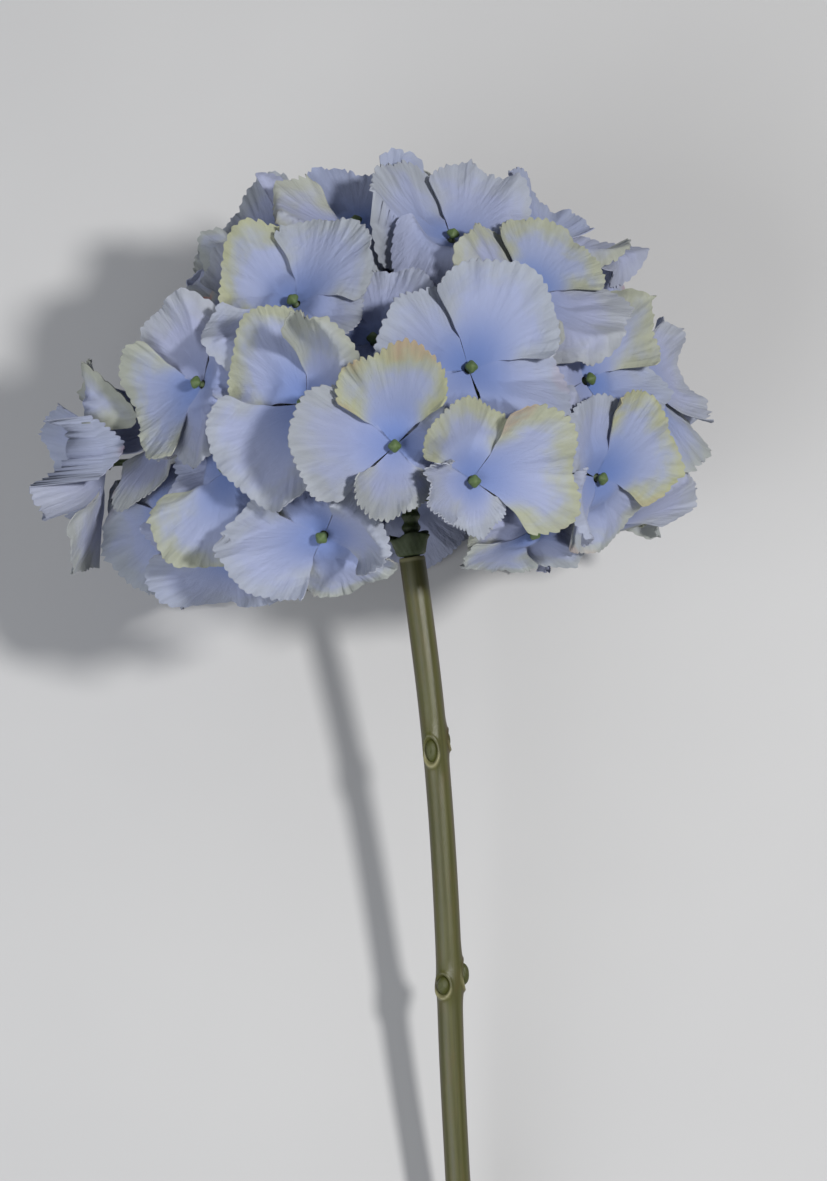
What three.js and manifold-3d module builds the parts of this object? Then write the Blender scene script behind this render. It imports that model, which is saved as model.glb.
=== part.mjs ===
// Artificial hydrangea: a round head of fabric florets on a moulded green stem with a wire core.
// Millimetres and +Z up. It lies down, on the pressed petals of its head and on the cut end of its stem.
// X runs across the flower, Y along it towards the head, and the origin is under the middle of it all.

import * as THREE from "three";
import { mergeVertices } from "three/addons/utils/BufferGeometryUtils.js";
import Module from "manifold-3d";

const wasm = await Module();
wasm.setup();

// Driving sizes of the head
const HEAD_RADIUS = 84; // from the middle to a floret's centre, across the head
const HEAD_RISE = 77; // the same along the head's own axis
const HEAD_DROP = 40; // how far the florets hang below its middle, before they curl under
const HEAD_LEAN = THREE.MathUtils.degToRad(9); // the axis leans to the left of the stem
const HEAD_HEIGHT = 82; // the middle of the head above the surface it lies on
const HEAD_Y = 119.64; // places the origin under the middle of the whole flower
const HEAD_X = 10.72;
const FLORET_COUNT = 47;
const UNDERSIDE_POWER = 6; // rounds the edge where the dome turns in underneath
const PLACES_SEED = 102; // both seeds are chosen so that no two florets cross
const PETALS_SEED = 3495;
const CROWN_LIMIT = THREE.MathUtils.degToRad(98); // how far from the crown the hidden florets grow
const PLACE_TRIALS = 400; // places tried for each hidden floret
const SPREAD_ROUNDS = 80; // and then they push each other apart this often
const SPREAD_PUSH = 0.004;
const SPREAD_RANGE = 1; // radians, beyond which they don't

// Driving sizes of a floret: four fan petals punched from fabric, threaded on a pin
const PETAL_LENGTH = 27; // from the pin to the rim, along the cloth
const FRONT_CUP = 14; // how far a petal's rim stands off the dome, in the loose florets in front
const BACK_CUP = 10; // and in those that the head lies on
const PETAL_COUNT = 4;
const HIDDEN_SIZE = [1.06, 1.16]; // the range of sizes of the florets that don't show in front
const CLOTH_SHARE = [0.95, 1.05]; // ranges that each petal is drawn from: its share of the length,
const RISE_SHARE = [0.25, 1.55]; // of its floret's cup,
const TURN_PLAY = [-5, 5]; // degrees from its even place round the floret,
const TILT = [-5, 5]; // how far one side of its rim stands above the middle,
const WAVE = [1, 2.8]; // how high its rim waves,
const FOLD = [-3.15, 3.85]; // and how far its sides stand above its middle
const SECTOR = Math.PI / 4; // half of a petal's quarter turn
const PETAL_SIDE = 1.2 * SECTOR; // and how far round it spreads at its rim, over its neighbours
const WAIST_PINCH = 0.07; // narrower than its quarter by this share at its waist
const FAN_SPREAD = 0.22; // in front, wider by this share at the rim, where it has room
const ROOMY_SHARE = 0.85; // a petal has room where it keeps this share of its length
const CORNER_ROUND = 0.24; // the rim's corners fall back by this share of the length
const RIM_SWELL = 0.03; // and the rim swells by this share here and there
const FLAT_RISE = 5; // a flat petal's rim stands this far off the round dome
const MOST_RISE = 25; // a rim never stands off more than this
const STEEPEST = 1.5; // nor more than this for each millimetre of blade
const PRESSED_RISE = 13; // nor less than this where it is pressed on the surface
const PRESSED_TILT = 0.8; // for florets that face down at least this much
const HUB_RISE = 11; // how fast the hub itself climbs
const CUP_POWER = 1.4; // the curve from the flat hub to the rim
const FAR_BLADE = 1.3; // the curve is followed this far past the rim
const FAR_ACROSS = 1.4; // and this far past the quarter's side
const WAVE_TURN = 3.3; // radians of a petal's wave across its half width
const WAVE_POWER = 1.5; // the wave grows towards the rim
const HUB_RADIUS = 8; // the petals are one piece inside this
const PARTED_REACH = 14; // and from here on they lie in two full layers
const HOLE_RADIUS = 1.5;
const PRESS_MARGIN = 0.02; // cloth this close to the surface lies flat on it
const FARTHEST_REACH = 1.6 * PETAL_LENGTH; // a floret holds nothing down beyond this
const FABRIC = 0.7; // thickness
const LAYER = 2.5; // between a floret and the one tucked beneath it
const PAIR_LAYER = 2.4; // between a floret's upper and lower petals, where they overlap
const TUCK_REACH = 5; // a tucked petal stays down this far beyond the rim above it
const TUCK_SLOPE = 0.65; // and then climbs no steeper than this
const STALK_ROOM = 5; // petals stop this far short of another floret's pin
const PRESS_ROOM = 2; // between a bead and the surface
const LEVEL_HUB = [3, 10]; // the hub is level up to the first reach and follows the dome from the next
const HUB_CHECK = { reach: 5, turns: 8 }; // where a hub is held clear of what lies over it

// Driving sizes of the stem and of what it carries
const STEM_LENGTH = 300;
const STEM_RADIUS = 4.25;
const CUT_END_RADIUS = 4;
const SOCKET_RADIUS = 3.1;
const SOCKET_DEPTH = 16;
const WIRE_RADIUS = 1.5;
const CLEARANCE = 0.35; // between pieces that touch on the real flower
const SHANK_RADIUS = 2.6;
const SHANK_PLAY = 0.2; // the shank is thinner by this in the stem's socket
const SHANK_RIBS = 9;
const RIB_SWELL = [-0.3, 0.5]; // the shank's radius changes by these in turn
const CORE_RADIUS = 4.5; // where the stalks part from the shank
const CORE_START = 0.4; // it is that thick from this share of the way to the head's middle
const STALK_REACH = 30; // a stalk is straight this far below its floret
const STALK_ROOTS = [-0.6, 0.9]; // how far up a stalk points, at the core's foot and at its top
const CROWN_HEIGHT = 22; // the core's top above the head's middle
const CROWN_RADIUS = 3;
const STALK_RADIUS = 1.1;
const STALK_FOOT = 0.4; // a stalk is wider than that by this where it leaves the core
const SEAT_RADIUS = 2.3; // the plate under a floret's hub
const SEAT_THICKNESS = 0.6;
const PIN_RADIUS = 0.85;
const PIN_PLAY = 0.3; // between the hub and the bead, with the clearances
const BEAD_RADIUS = 2;
const BEAD_LENGTH = 3.4;
const BEAD_TIP = 0.5;
const BEAD_STAND = 3.2; // a bead's top stands this far above the highest that the cloth there could lie
const LIP = 1.1; // the raised rim round a plug's pocket
const LIP_SINK = 1; // how deep that rim's middle lies under the plug's
const PLUG_SEAT = 0.6; // how deep a plug's middle lies under the stem's surface, unless it stands out more
const LIP_HEIGHT = 0.8; // of the plug's half width
const COLLAR_FRILL = 0.7;
const COLLAR_WAVE = 0.8;
const COLLAR_FLAT = 6; // the frill is full and the edge waves above this height

// Finishes
const PETAL_COLOR = "#8f9bc9";
const STEM_COLOR = "#56592f";
const BUD_COLOR = "#3c4526";
const SPRAY_COLOR = "#3e4a2b";
const WIRE_COLOR = "#8a8c8e";

// The stem's route, seen from the front: right of and along from the head's middle
const STEM_TOP = [3, -36];
const STEM_END = [22, STEM_TOP[1] - STEM_LENGTH];
const STEM_BENDS = [[5, -50], [9, -82], [12, -115], [14.5, -157], [16, -200], [19, -260]];
const NECK_TOP = [2.5, -19];
const NECK_WINDOW = { at: [3.5, -28, 79], room: 7 }; // the petals part here, so that the neck shows

// Leaf sockets with their green plugs, in pairs down the stem: distance below the stem's top,
// turn round the stem from the front towards the right, half length, half width and half height
const BUDS = [
  { name: "bud_upper_front", below: 63, turn: -22, half: [3.7, 1.9, 1.5] },
  { name: "bud_upper_side", below: 60, turn: 98, half: [2.6, 1.5, 1.6] },
  { name: "bud_middle_front", below: 139, turn: -32, half: [3, 2.1, 2] },
  { name: "bud_middle_side", below: 136, turn: 100, half: [3.8, 2.2, 2.5], seat: 0.1 },
  { name: "bud_lower_front", below: 214, turn: -27, half: [3.4, 2, 1.7] },
  { name: "bud_lower_side", below: 211, turn: 99, half: [3.2, 1.9, 2.1], seat: 0.3 },
];

// Florets that show on the front: right of, above and in front of the head's middle, the turn of
// the petals in degrees and their size. Each lies over those after it. Where the petals of one
// floret plainly differ, rises says how far each rim stands off the dome. Where its bead shows,
// no other petal covers it.
const FRONT_FLORETS = [
  { at: [21, -14, 80], turn: 5, size: 1.1, rises: [16, 25, 10, 12] },
  { at: [-2, -4, 84], turn: 80, size: 1.1, rises: [22, 17, 9, 14] },
  { at: [20, 19, 79], turn: 48, size: 1.1, bead: true, rises: [12, 8, 16, 9] },
  { at: [-29, 9, 80], turn: 38, size: 1.1, bead: true, rises: [25, 11, 8, 20] },
  { at: [57, -12, 55], turn: 28, size: 1.06, bead: true, rises: [8, 14, 17, 12] },
  { at: [-33, 41, 66], turn: 50, size: 1.08, bead: true, rises: [11, 16, 8, 10] },
  { at: [-24, -31, 75], turn: 8, size: 1.06, bead: true, rises: [15, 22, 14, 7] },
  { at: [38, 42, 58], turn: 45, size: 1.06, rises: [10, 14, 22, 14] },
  { at: [58, 18, 55], turn: 62, size: 1.06, rises: [12, 6, 18, 14] },
  { at: [-9, 30, 77], turn: 58, size: 1.0, bead: true },
  { at: [41, -30, 61], turn: 60, size: 0.98, bead: true, rises: [9, 8, 6, 12] },
  { at: [-64, 17, 57], turn: 20, size: 1.06, rises: [22, 14, 8, 16] },
  { at: [-54, -10, 67], turn: 66, size: 1.06, rises: [14, 10, 12, 20] },
  { at: [15, 60, 50], turn: 30, size: 1.04, rises: [15, 16, 22, 21] },
  { at: [-58, 40, 46], turn: 80, size: 1.04, rises: [12, 12, 16, 22] },
  { at: [-14, 66, 42], turn: 0, size: 1, rises: [14, 11, 19, 24] },
  { at: [-51, -38, 55], turn: 35, size: 1.04 },
  { at: [78, 18, 30], turn: 15, size: 1.04, rises: [8, 14, 23, 14] },
  { at: [-42, 62, 30], turn: 50, size: 1.0 },
  { at: [76, -34, 28], turn: 75, size: 1.04, rises: [14, 14, 5, 10] },
  { at: [-96, -6, 6], turn: 350, size: 1.06, rises: [22, 10, 22, 12], lift: 12 },
  { at: [-83, 8, 26], turn: 10, size: 1.04 },
  { at: [46, 62, 24], turn: 50, size: 1.04, rises: [12, 12, 23, 16] },
  { at: [88, -8, 20], turn: 40, size: 1.0 },
  { at: [-76, -24, 38], turn: 25, size: 1.04 },
  { at: [66, 44, 16], turn: 85, size: 1.04 },
];

// A seeded draw, so that the head is the same each time
function makeDraw(seed) {
  let state = seed >>> 0;
  return function draw() {
    state = (state + 0x6d2b79f5) >>> 0;
    let mixed = Math.imul(state ^ (state >>> 15), state | 1);
    mixed ^= mixed + Math.imul(mixed ^ (mixed >>> 7), mixed | 61);
    return ((mixed ^ (mixed >>> 14)) >>> 0) / 4294967296;
  };
}

// The flower's own directions, tipped so that the head and the cut end both touch the surface
const REACH = -STEM_END[1];
const CUT_END_REACH = Math.hypot(REACH, CUT_END_RADIUS);
const TIP = Math.asin(HEAD_HEIGHT / CUT_END_REACH) - Math.atan2(CUT_END_RADIUS, REACH);
const RIGHT = new THREE.Vector3(1, 0, 0);
const ALONG = new THREE.Vector3(0, Math.cos(TIP), Math.sin(TIP));
const FRONT = new THREE.Vector3(0, -Math.sin(TIP), Math.cos(TIP));
const HEAD_AXIS = heading(-Math.sin(HEAD_LEAN), Math.cos(HEAD_LEAN), 0);
const HEAD_SIDE = heading(Math.cos(HEAD_LEAN), Math.sin(HEAD_LEAN), 0);
const HEAD_MIDDLE = new THREE.Vector3(HEAD_X, HEAD_Y, HEAD_HEIGHT);

function heading(right, along, front) {
  return RIGHT.clone().multiplyScalar(right).addScaledVector(ALONG, along).addScaledVector(FRONT, front);
}

function place(right, along, front = 0) {
  return heading(right, along, front).add(HEAD_MIDDLE);
}

// How far the dome of floret centres is from the middle, in a given direction
function domeRadius(direction) {
  const rise = direction.dot(HEAD_AXIS);
  const across = 1 - rise * rise;
  const round = 1 / Math.sqrt(across / HEAD_RADIUS ** 2 + (rise * rise) / HEAD_RISE ** 2);
  const flat = Math.max(0, -rise) / HEAD_DROP;
  return (round ** -UNDERSIDE_POWER + flat ** UNDERSIDE_POWER) ** (-1 / UNDERSIDE_POWER);
}

// How far the surface that the flower lies on is, in the same direction
function surfaceRadius(direction, height) {
  return direction.z < -0.05 ? (HEAD_HEIGHT - height) / -direction.z : Infinity;
}

// A direction given by how far it is from the head's axis and the turn round it
function crownDirection(angle, turn) {
  return HEAD_AXIS.clone().multiplyScalar(Math.cos(angle))
    .addScaledVector(HEAD_SIDE, Math.sin(angle) * Math.cos(turn))
    .addScaledVector(FRONT, Math.sin(angle) * Math.sin(turn));
}

// Where florets grow: those on the front first, then the emptiest place each time
function floretDirections() {
  const directions = FRONT_FLORETS.map((floret) => heading(...floret.at).normalize());
  const draw = makeDraw(PLACES_SEED);
  while (directions.length < FLORET_COUNT) {
    let best = null;
    let bestRoom = -1;
    for (let trial = 0; trial < PLACE_TRIALS; trial++) {
      const angle = Math.acos(THREE.MathUtils.lerp(Math.cos(CROWN_LIMIT), 1, draw()));
      const candidate = crownDirection(angle, 2 * Math.PI * draw());
      const room = Math.min(...directions.map((direction) => direction.angleTo(candidate)));
      if (room > bestRoom) {
        best = candidate;
        bestRoom = room;
      }
    }
    directions.push(best);
  }
  spreadOut(directions);
  return directions;
}

// Lets the florets that don't show in front push each other apart until they are even
function spreadOut(directions) {
  for (let round = 0; round < SPREAD_ROUNDS; round++) {
    for (let i = FRONT_FLORETS.length; i < directions.length; i++) {
      const moved = directions[i].clone();
      for (const other of directions) {
        const angle = other.angleTo(directions[i]);
        if (angle > 0 && angle < SPREAD_RANGE) {
          moved.addScaledVector(directions[i].clone().sub(other), SPREAD_PUSH / angle ** 3);
        }
      }
      moved.normalize();
      const angle = moved.angleTo(HEAD_AXIS);
      if (angle > CROWN_LIMIT) {
        moved.lerp(HEAD_AXIS, (angle - CROWN_LIMIT) / angle).normalize();
      }
      directions[i].copy(moved);
    }
  }
}

// A floret's petals, its own axes and what varies between petals
function makeFlorets() {
  const draw = makeDraw(PETALS_SEED);
  const between = ([least, most]) => least + (most - least) * draw();
  const directions = floretDirections();
  return directions.map((direction, index) => {
    const inFront = index < FRONT_FLORETS.length;
    const shown = inFront ? FRONT_FLORETS[index] : { turn: 360 * draw(), size: between(HIDDEN_SIZE) };
    const cup = inFront ? FRONT_CUP : BACK_CUP;
    const up = HEAD_AXIS.clone().addScaledVector(direction, -HEAD_AXIS.dot(direction)).normalize();
    const right = up.clone().cross(direction);
    const petals = [];
    for (let k = 0; k < PETAL_COUNT; k++) {
      const drawn = cup * between(RISE_SHARE);
      const pressed = direction.z < -PRESSED_TILT ? PRESSED_RISE : 0;
      const rise = shown.rises ? shown.rises[k] : Math.max(drawn, pressed);
      const cloth = PETAL_LENGTH * shown.size * between(CLOTH_SHARE);
      petals.push({
        axis: THREE.MathUtils.degToRad(shown.turn + 90 * k + between(TURN_PLAY)),
        cloth,
        length: Math.sqrt(cloth ** 2 - (rise - FLAT_RISE) ** 2),
        rise,
        tilt: between(TILT),
        wave: between(WAVE),
        phase: 2 * Math.PI * draw(),
        fold: between(FOLD),
        upper: k % 2 === 0,
        spread: inFront ? FAN_SPREAD : 0,
      });
    }
    const dome = domeRadius(direction);
    return { direction, right, up, petals, dome, sink: 0, lift: shown.lift ?? 0, beadShows: shown.bead };
  });
}

// A direction as seen from a floret: distance along the dome and turn round the floret
function seenFrom(floret, direction) {
  const reach = HEAD_RADIUS * Math.acos(THREE.MathUtils.clamp(direction.dot(floret.direction), -1, 1));
  return { reach, turn: Math.atan2(direction.dot(floret.up), direction.dot(floret.right)) };
}

function directionFrom(floret, reach, turn) {
  const angle = reach / HEAD_RADIUS;
  return floret.direction.clone().multiplyScalar(Math.cos(angle))
    .addScaledVector(floret.right, Math.sin(angle) * Math.cos(turn))
    .addScaledVector(floret.up, Math.sin(angle) * Math.sin(turn));
}

function wrap(angle) {
  return Math.atan2(Math.sin(angle), Math.cos(angle));
}

// The half width of a petal, as an angle, which passes its quarter only towards the rim
function halfWidth(petal, share) {
  const pinch = WAIST_PINCH * Math.sin(Math.PI * share);
  const spread = petal.length > ROOMY_SHARE * petal.cloth ? petal.spread : 0;
  return SECTOR * (1 - pinch + spread * THREE.MathUtils.smoothstep(share, 0.5, 1));
}

// The rim's distance from the pin across the petal, with rounded corners
function rimReach(petal, across) {
  const swell = RIM_SWELL * Math.cos(3 * petal.phase + 5 * across);
  return petal.length * (1 - CORNER_ROUND * Math.abs(across) ** 3 + swell);
}

function hubRise(reach) {
  return HUB_RISE * (reach / PETAL_LENGTH) ** CUP_POWER;
}

// How far out on a petal's own blade a place is, from the hub's edge to the rim
function bladeShare(petal, reach) {
  return THREE.MathUtils.clamp((reach - HUB_RADIUS) / (petal.length - HUB_RADIUS), 0, FAR_BLADE);
}

// How high a petal stands off the dome, before it is tucked under another
function freeRise(floret, petal, reach, turn, dome) {
  const blade = bladeShare(petal, reach);
  const across = THREE.MathUtils.clamp(turn / SECTOR, -FAR_ACROSS, FAR_ACROSS);
  const cup = hubRise(reach) + (petal.rise - hubRise(petal.length)) * blade ** CUP_POWER;
  const crease = petal.fold * (Math.abs(across) - 0.5) * blade;
  const tilt = petal.tilt * across * blade;
  const wave = petal.wave * blade ** WAVE_POWER * Math.sin(WAVE_TURN * across + petal.phase);
  const level = (floret.dome - dome) * (1 - THREE.MathUtils.smoothstep(reach, ...LEVEL_HUB));
  return cup + crease + (tilt + wave) + level - floret.sink;
}

// How far a direction lies outside a petal's outline
function outsidePetal(petal, reach, turn) {
  const beyond = Math.abs(turn) - PETAL_SIDE;
  if (beyond <= 0) {
    return Math.max(0, reach - rimReach(petal, turn / PETAL_SIDE));
  }
  if (beyond > Math.PI / 2) {
    return reach;
  }
  const corner = rimReach(petal, 1);
  const along = reach * Math.cos(beyond);
  const off = reach * Math.sin(beyond);
  return along > corner ? Math.hypot(along - corner, off) : off;
}

// How steeply a petal climbs
function steepness(petal, reach) {
  const blade = bladeShare(petal, reach);
  const climb = (petal.rise - hubRise(petal.length)) / (petal.length - HUB_RADIUS);
  const hub = HUB_RISE / PETAL_LENGTH * (reach / PETAL_LENGTH) ** (CUP_POWER - 1);
  return CUP_POWER * (hub + climb * blade ** (CUP_POWER - 1));
}

// The highest that something may lie under a petal, which climbs again beyond its rim
function allowance(petal, height, gap, reach, turn) {
  const clear = gap * Math.hypot(1, steepness(petal, reach));
  return height - clear + TUCK_SLOPE * Math.max(0, outsidePetal(petal, reach, turn) - TUCK_REACH);
}

// Radial height over the dome of each petal of a floret in one direction, tucked under all above it
function tuckedRises(florets, rank, direction, ceiling) {
  const floret = florets[rank];
  const dome = domeRadius(direction);
  const { reach, turn } = seenFrom(floret, direction);
  const heights = [];
  let pairCeiling = Infinity;
  for (const wantUpper of [true, false]) {
    let nextCeiling = Infinity;
    floret.petals.forEach((petal, k) => {
      if (petal.upper !== wantUpper) {
        return;
      }
      const offset = wrap(turn - petal.axis);
      const height = Math.min(freeRise(floret, petal, reach, offset, dome), ceiling, pairCeiling);
      heights[k] = height;
      const gap = PAIR_LAYER * THREE.MathUtils.smoothstep(reach, HUB_RADIUS, PARTED_REACH);
      nextCeiling = Math.min(nextCeiling, allowance(petal, height, gap, reach, offset));
    });
    pairCeiling = nextCeiling;
  }
  return heights;
}

// The ceiling that the surface and the florets above set for a floret in one direction
function ceilingOver(florets, rank, direction) {
  const dome = domeRadius(direction);
  let ceiling = surfaceRadius(direction, FABRIC / 2) - dome;
  for (let above = 0; above < rank; above++) {
    const { reach, turn } = seenFrom(florets[above], direction);
    if (reach > FARTHEST_REACH) {
      continue;
    }
    const heights = tuckedRises(florets, above, direction, ceiling);
    florets[above].petals.forEach((petal, k) => {
      const offset = wrap(turn - petal.axis);
      ceiling = Math.min(ceiling, allowance(petal, heights[k], LAYER, reach, offset));
    });
  }
  return ceiling;
}

// Shortens petals that point at another floret's pin or at the neck, and makes those climb more
function makeRoomForPins(florets) {
  const window = { direction: heading(...NECK_WINDOW.at).normalize(), room: NECK_WINDOW.room };
  for (const [rank, floret] of florets.entries()) {
    const above = florets.slice(0, rank);
    const shownBelow = florets.slice(rank + 1).filter((other) => other.beadShows);
    for (const other of [...above, ...shownBelow, window]) {
      const { reach, turn } = seenFrom(floret, other.direction);
      const room = other.room ?? STALK_ROOM;
      for (const petal of floret.petals) {
        const offset = wrap(turn - petal.axis);
        const side = PETAL_SIDE + room / reach;
        const longest = reach - room;
        if (Math.abs(offset) < side && petal.length > longest) {
          petal.length = longest;
          const bent = FLAT_RISE + Math.sqrt(petal.cloth ** 2 - longest ** 2);
          petal.rise = Math.min(MOST_RISE, bent, STEEPEST * (longest - HUB_RADIUS));
        }
      }
    }
  }
}

// Sinks each floret until its hub and its bead clear what lies over them and the surface
function settleHubs(florets) {
  florets.forEach((floret, rank) => {
    const room = surfaceRadius(floret.direction, BEAD_LENGTH + PRESS_ROOM) - floret.dome;
    floret.sink = Math.max(-floret.lift, -room);
    let deepest = 0;
    for (let step = 0; step < HUB_CHECK.turns; step++) {
      const turn = (2 * Math.PI * step) / HUB_CHECK.turns;
      const direction = directionFrom(floret, HUB_CHECK.reach, turn);
      const ceiling = ceilingOver(florets, rank, direction);
      const rise = freeRise(floret, floret.petals[0], HUB_CHECK.reach, 0, domeRadius(direction));
      const beside = directionFrom(floret, BEAD_RADIUS, turn);
      const beadRise = floret.dome - domeRadius(beside) + BEAD_STAND - floret.sink;
      deepest = Math.max(deepest, rise - ceiling, beadRise - ceilingOver(florets, rank, beside));
    }
    floret.sink += deepest;
  });
}

const florets = makeFlorets();
makeRoomForPins(florets);
settleHubs(florets);

// One corner of a floret's cloth: where its middle layer lies
function clothPoint(rank, k, reach, offset) {
  const floret = florets[rank];
  const direction = directionFrom(floret, reach, floret.petals[k].axis + offset);
  const ceiling = ceilingOver(florets, rank, direction);
  const height = tuckedRises(florets, rank, direction, ceiling)[k];
  return direction.multiplyScalar(domeRadius(direction) + height).add(HEAD_MIDDLE);
}

// Turns a sheet's middle layer into a closed blade of even thickness
function thicken(points, triangles) {
  const normals = points.map(() => new THREE.Vector3());
  const edges = new Map();
  for (const [a, b, c] of triangles) {
    const normal = points[b].clone().sub(points[a]).cross(points[c].clone().sub(points[a]));
    for (const corner of [a, b, c]) {
      normals[corner].add(normal);
    }
    for (const [from, to] of [[a, b], [b, c], [c, a]]) {
      if (edges.has(`${to},${from}`)) {
        edges.delete(`${to},${from}`);
      } else {
        edges.set(`${from},${to}`, [from, to]);
      }
    }
  }
  const count = points.length;
  const outer = [];
  const inner = [];
  points.forEach((point, i) => {
    const half = normals[i].setLength(FABRIC / 2);
    const pressed = point.z < FABRIC / 2 + PRESS_MARGIN;
    outer.push(point.clone().add(half));
    inner.push(point.clone().sub(half));
    outer[i].z = pressed ? 0 : Math.max(0, outer[i].z);
    inner[i].z = pressed ? FABRIC : inner[i].z;
  });
  const faces = [];
  for (const [a, b, c] of triangles) {
    faces.push([a, b, c], [count + c, count + b, count + a]);
  }
  for (const [from, to] of edges.values()) {
    faces.push([to, from, count + from], [to, count + from, count + to]);
  }
  return geometryOf([...outer, ...inner], faces);
}

function geometryOf(points, faces) {
  const geometry = new THREE.BufferGeometry();
  const corners = points.flatMap((point) => point.toArray());
  geometry.setAttribute("position", new THREE.Float32BufferAttribute(corners, 3));
  geometry.setIndex(faces.flat());
  return geometry;
}

const HUB_COLUMNS = [-1, 0, 1];
const COLUMNS = [-1, -0.6, -0.2, 0.2, 0.6, 1];
const SCALLOP = [0, 0.9, -0.6, 0.9, -0.6, 0]; // the cut edge's teeth, larger than life
const SMOOTH = [0, 0, 0, 0, 0, 0];

// A floret: a hub with a hole and four petals that overlap in two pairs
function floretGeometry(rank) {
  const floret = florets[rank];
  const points = [];
  const triangles = [];
  const add = (point) => points.push(point) - 1;
  const hubRing = (reach) => {
    const ring = [];
    for (let k = 0; k < PETAL_COUNT; k++) {
      for (const across of HUB_COLUMNS.slice(0, -1)) {
        ring.push(add(clothPoint(rank, k, reach, across * SECTOR)));
      }
    }
    return ring;
  };
  const bladeRow = (k, share, scallop) => COLUMNS.map((across, i) => {
    const full = rimReach(floret.petals[k], across) + scallop[i];
    const reach = HUB_RADIUS + share * (full - HUB_RADIUS);
    return add(clothPoint(rank, k, reach, across * halfWidth(floret.petals[k], share)));
  });
  const hole = hubRing(HOLE_RADIUS);
  const hub = hubRing(HUB_RADIUS);
  for (let i = 0; i < hub.length; i++) {
    const next = (i + 1) % hub.length;
    triangles.push([hole[i], hub[i], hub[next]]);
    triangles.push([hole[i], hub[next], hole[next]]);
  }
  for (let k = 0; k < PETAL_COUNT; k++) {
    const [left, middle, right] = HUB_COLUMNS.map((_, i) => hub[(2 * k + i) % hub.length]);
    const waist = bladeRow(k, 0.5, SMOOTH);
    const rim = bladeRow(k, 1, SCALLOP);
    const foot = [left, left, middle, right, right];
    for (let i = 0; i + 1 < COLUMNS.length; i++) {
      triangles.push([foot[i], waist[i], waist[i + 1]]);
      triangles.push([waist[i], rim[i], rim[i + 1]]);
      triangles.push([waist[i], rim[i + 1], waist[i + 1]]);
    }
    triangles.push([left, waist[2], middle]);
    triangles.push([middle, waist[3], right]);
  }
  return thicken(points, triangles);
}

// A closed tube through given points, with a radius at each
function sweep(path, radii, sides) {
  const points = [];
  const faces = [];
  path.forEach((point, i) => {
    const before = path[Math.max(i - 1, 0)];
    const after = path[Math.min(i + 1, path.length - 1)];
    const ahead = after.clone().sub(before).normalize();
    const reference = Math.abs(ahead.dot(FRONT)) > 0.9 ? RIGHT : FRONT;
    const front = reference.clone().addScaledVector(ahead, -reference.dot(ahead)).normalize();
    const side = front.clone().cross(ahead);
    for (let s = 0; s < sides; s++) {
      const turn = (2 * Math.PI * s) / sides;
      const out = side.clone().multiplyScalar(Math.sin(turn)).addScaledVector(front, -Math.cos(turn));
      points.push(point.clone().addScaledVector(out, radii[i]));
    }
  });
  for (let i = 0; i + 1 < path.length; i++) {
    for (let s = 0; s < sides; s++) {
      const [a, b] = [i * sides + s, i * sides + ((s + 1) % sides)];
      faces.push([a, b, b + sides], [a, b + sides, a + sides]);
    }
  }
  const last = points.length - sides;
  for (let s = 1; s + 1 < sides; s++) {
    faces.push([0, s + 1, s], [last, last + s, last + s + 1]);
  }
  return geometryOf(points, faces);
}

function toSolid(geometry) {
  const shape = geometry.clone();
  shape.deleteAttribute("normal");
  shape.deleteAttribute("uv");
  const merged = mergeVertices(shape, 1e-4);
  return new wasm.Manifold(new wasm.Mesh({
    numProp: 3,
    vertProperties: new Float32Array(merged.attributes.position.array),
    triVerts: new Uint32Array(merged.index.array),
  }));
}

function toGeometry(solid) {
  const mesh = solid.getMesh();
  const geometry = new THREE.BufferGeometry();
  geometry.setAttribute("position", new THREE.BufferAttribute(new Float32Array(mesh.vertProperties), 3));
  geometry.setIndex([...mesh.triVerts]);
  return geometry;
}

// The stem's centreline, as a distance below its top
const stemRoute = [STEM_TOP, ...STEM_BENDS, STEM_END];
const stemCurve = new THREE.CatmullRomCurve3(stemRoute.map(([right, along]) => place(right, along)));
function stemPoint(below) {
  return stemCurve.getPointAt(THREE.MathUtils.clamp(below / stemCurve.getLength(), 0, 1));
}

function stemPath(from, to, count) {
  return Array.from({ length: count + 1 }, (_, i) => stemPoint(THREE.MathUtils.lerp(from, to, i / count)));
}

// A bud's frame on the stem: along the stem, out of it, and across
function budFrame(bud) {
  const along = stemPoint(bud.below + 1).sub(stemPoint(bud.below - 1)).normalize();
  const turn = THREE.MathUtils.degToRad(bud.turn);
  const front = FRONT.clone().addScaledVector(along, -FRONT.dot(along)).normalize();
  const side = front.clone().cross(along);
  const out = front.clone().multiplyScalar(Math.cos(turn)).addScaledVector(side, Math.sin(turn));
  const across = along.clone().cross(out);
  const seat = bud.seat ?? PLUG_SEAT;
  const centre = stemPoint(bud.below).addScaledVector(out, STEM_RADIUS - seat);
  return { along, out, across, centre, seat };
}

// An oval plug, grown by a margin for the pocket that holds it or for the lip round it
function budSolid(bud, grow, sides = 8, halfHeight = bud.half[2]) {
  const { along, out, across, centre } = budFrame(bud);
  const [halfLength, halfAcross] = bud.half;
  const frame = new THREE.Matrix4().makeBasis(
    along.multiplyScalar(halfLength + grow),
    out.multiplyScalar(halfHeight + grow),
    across.multiplyScalar(halfAcross + grow),
  );
  frame.setPosition(centre);
  return toSolid(new THREE.SphereGeometry(1, sides, 4).applyMatrix4(frame));
}

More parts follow.
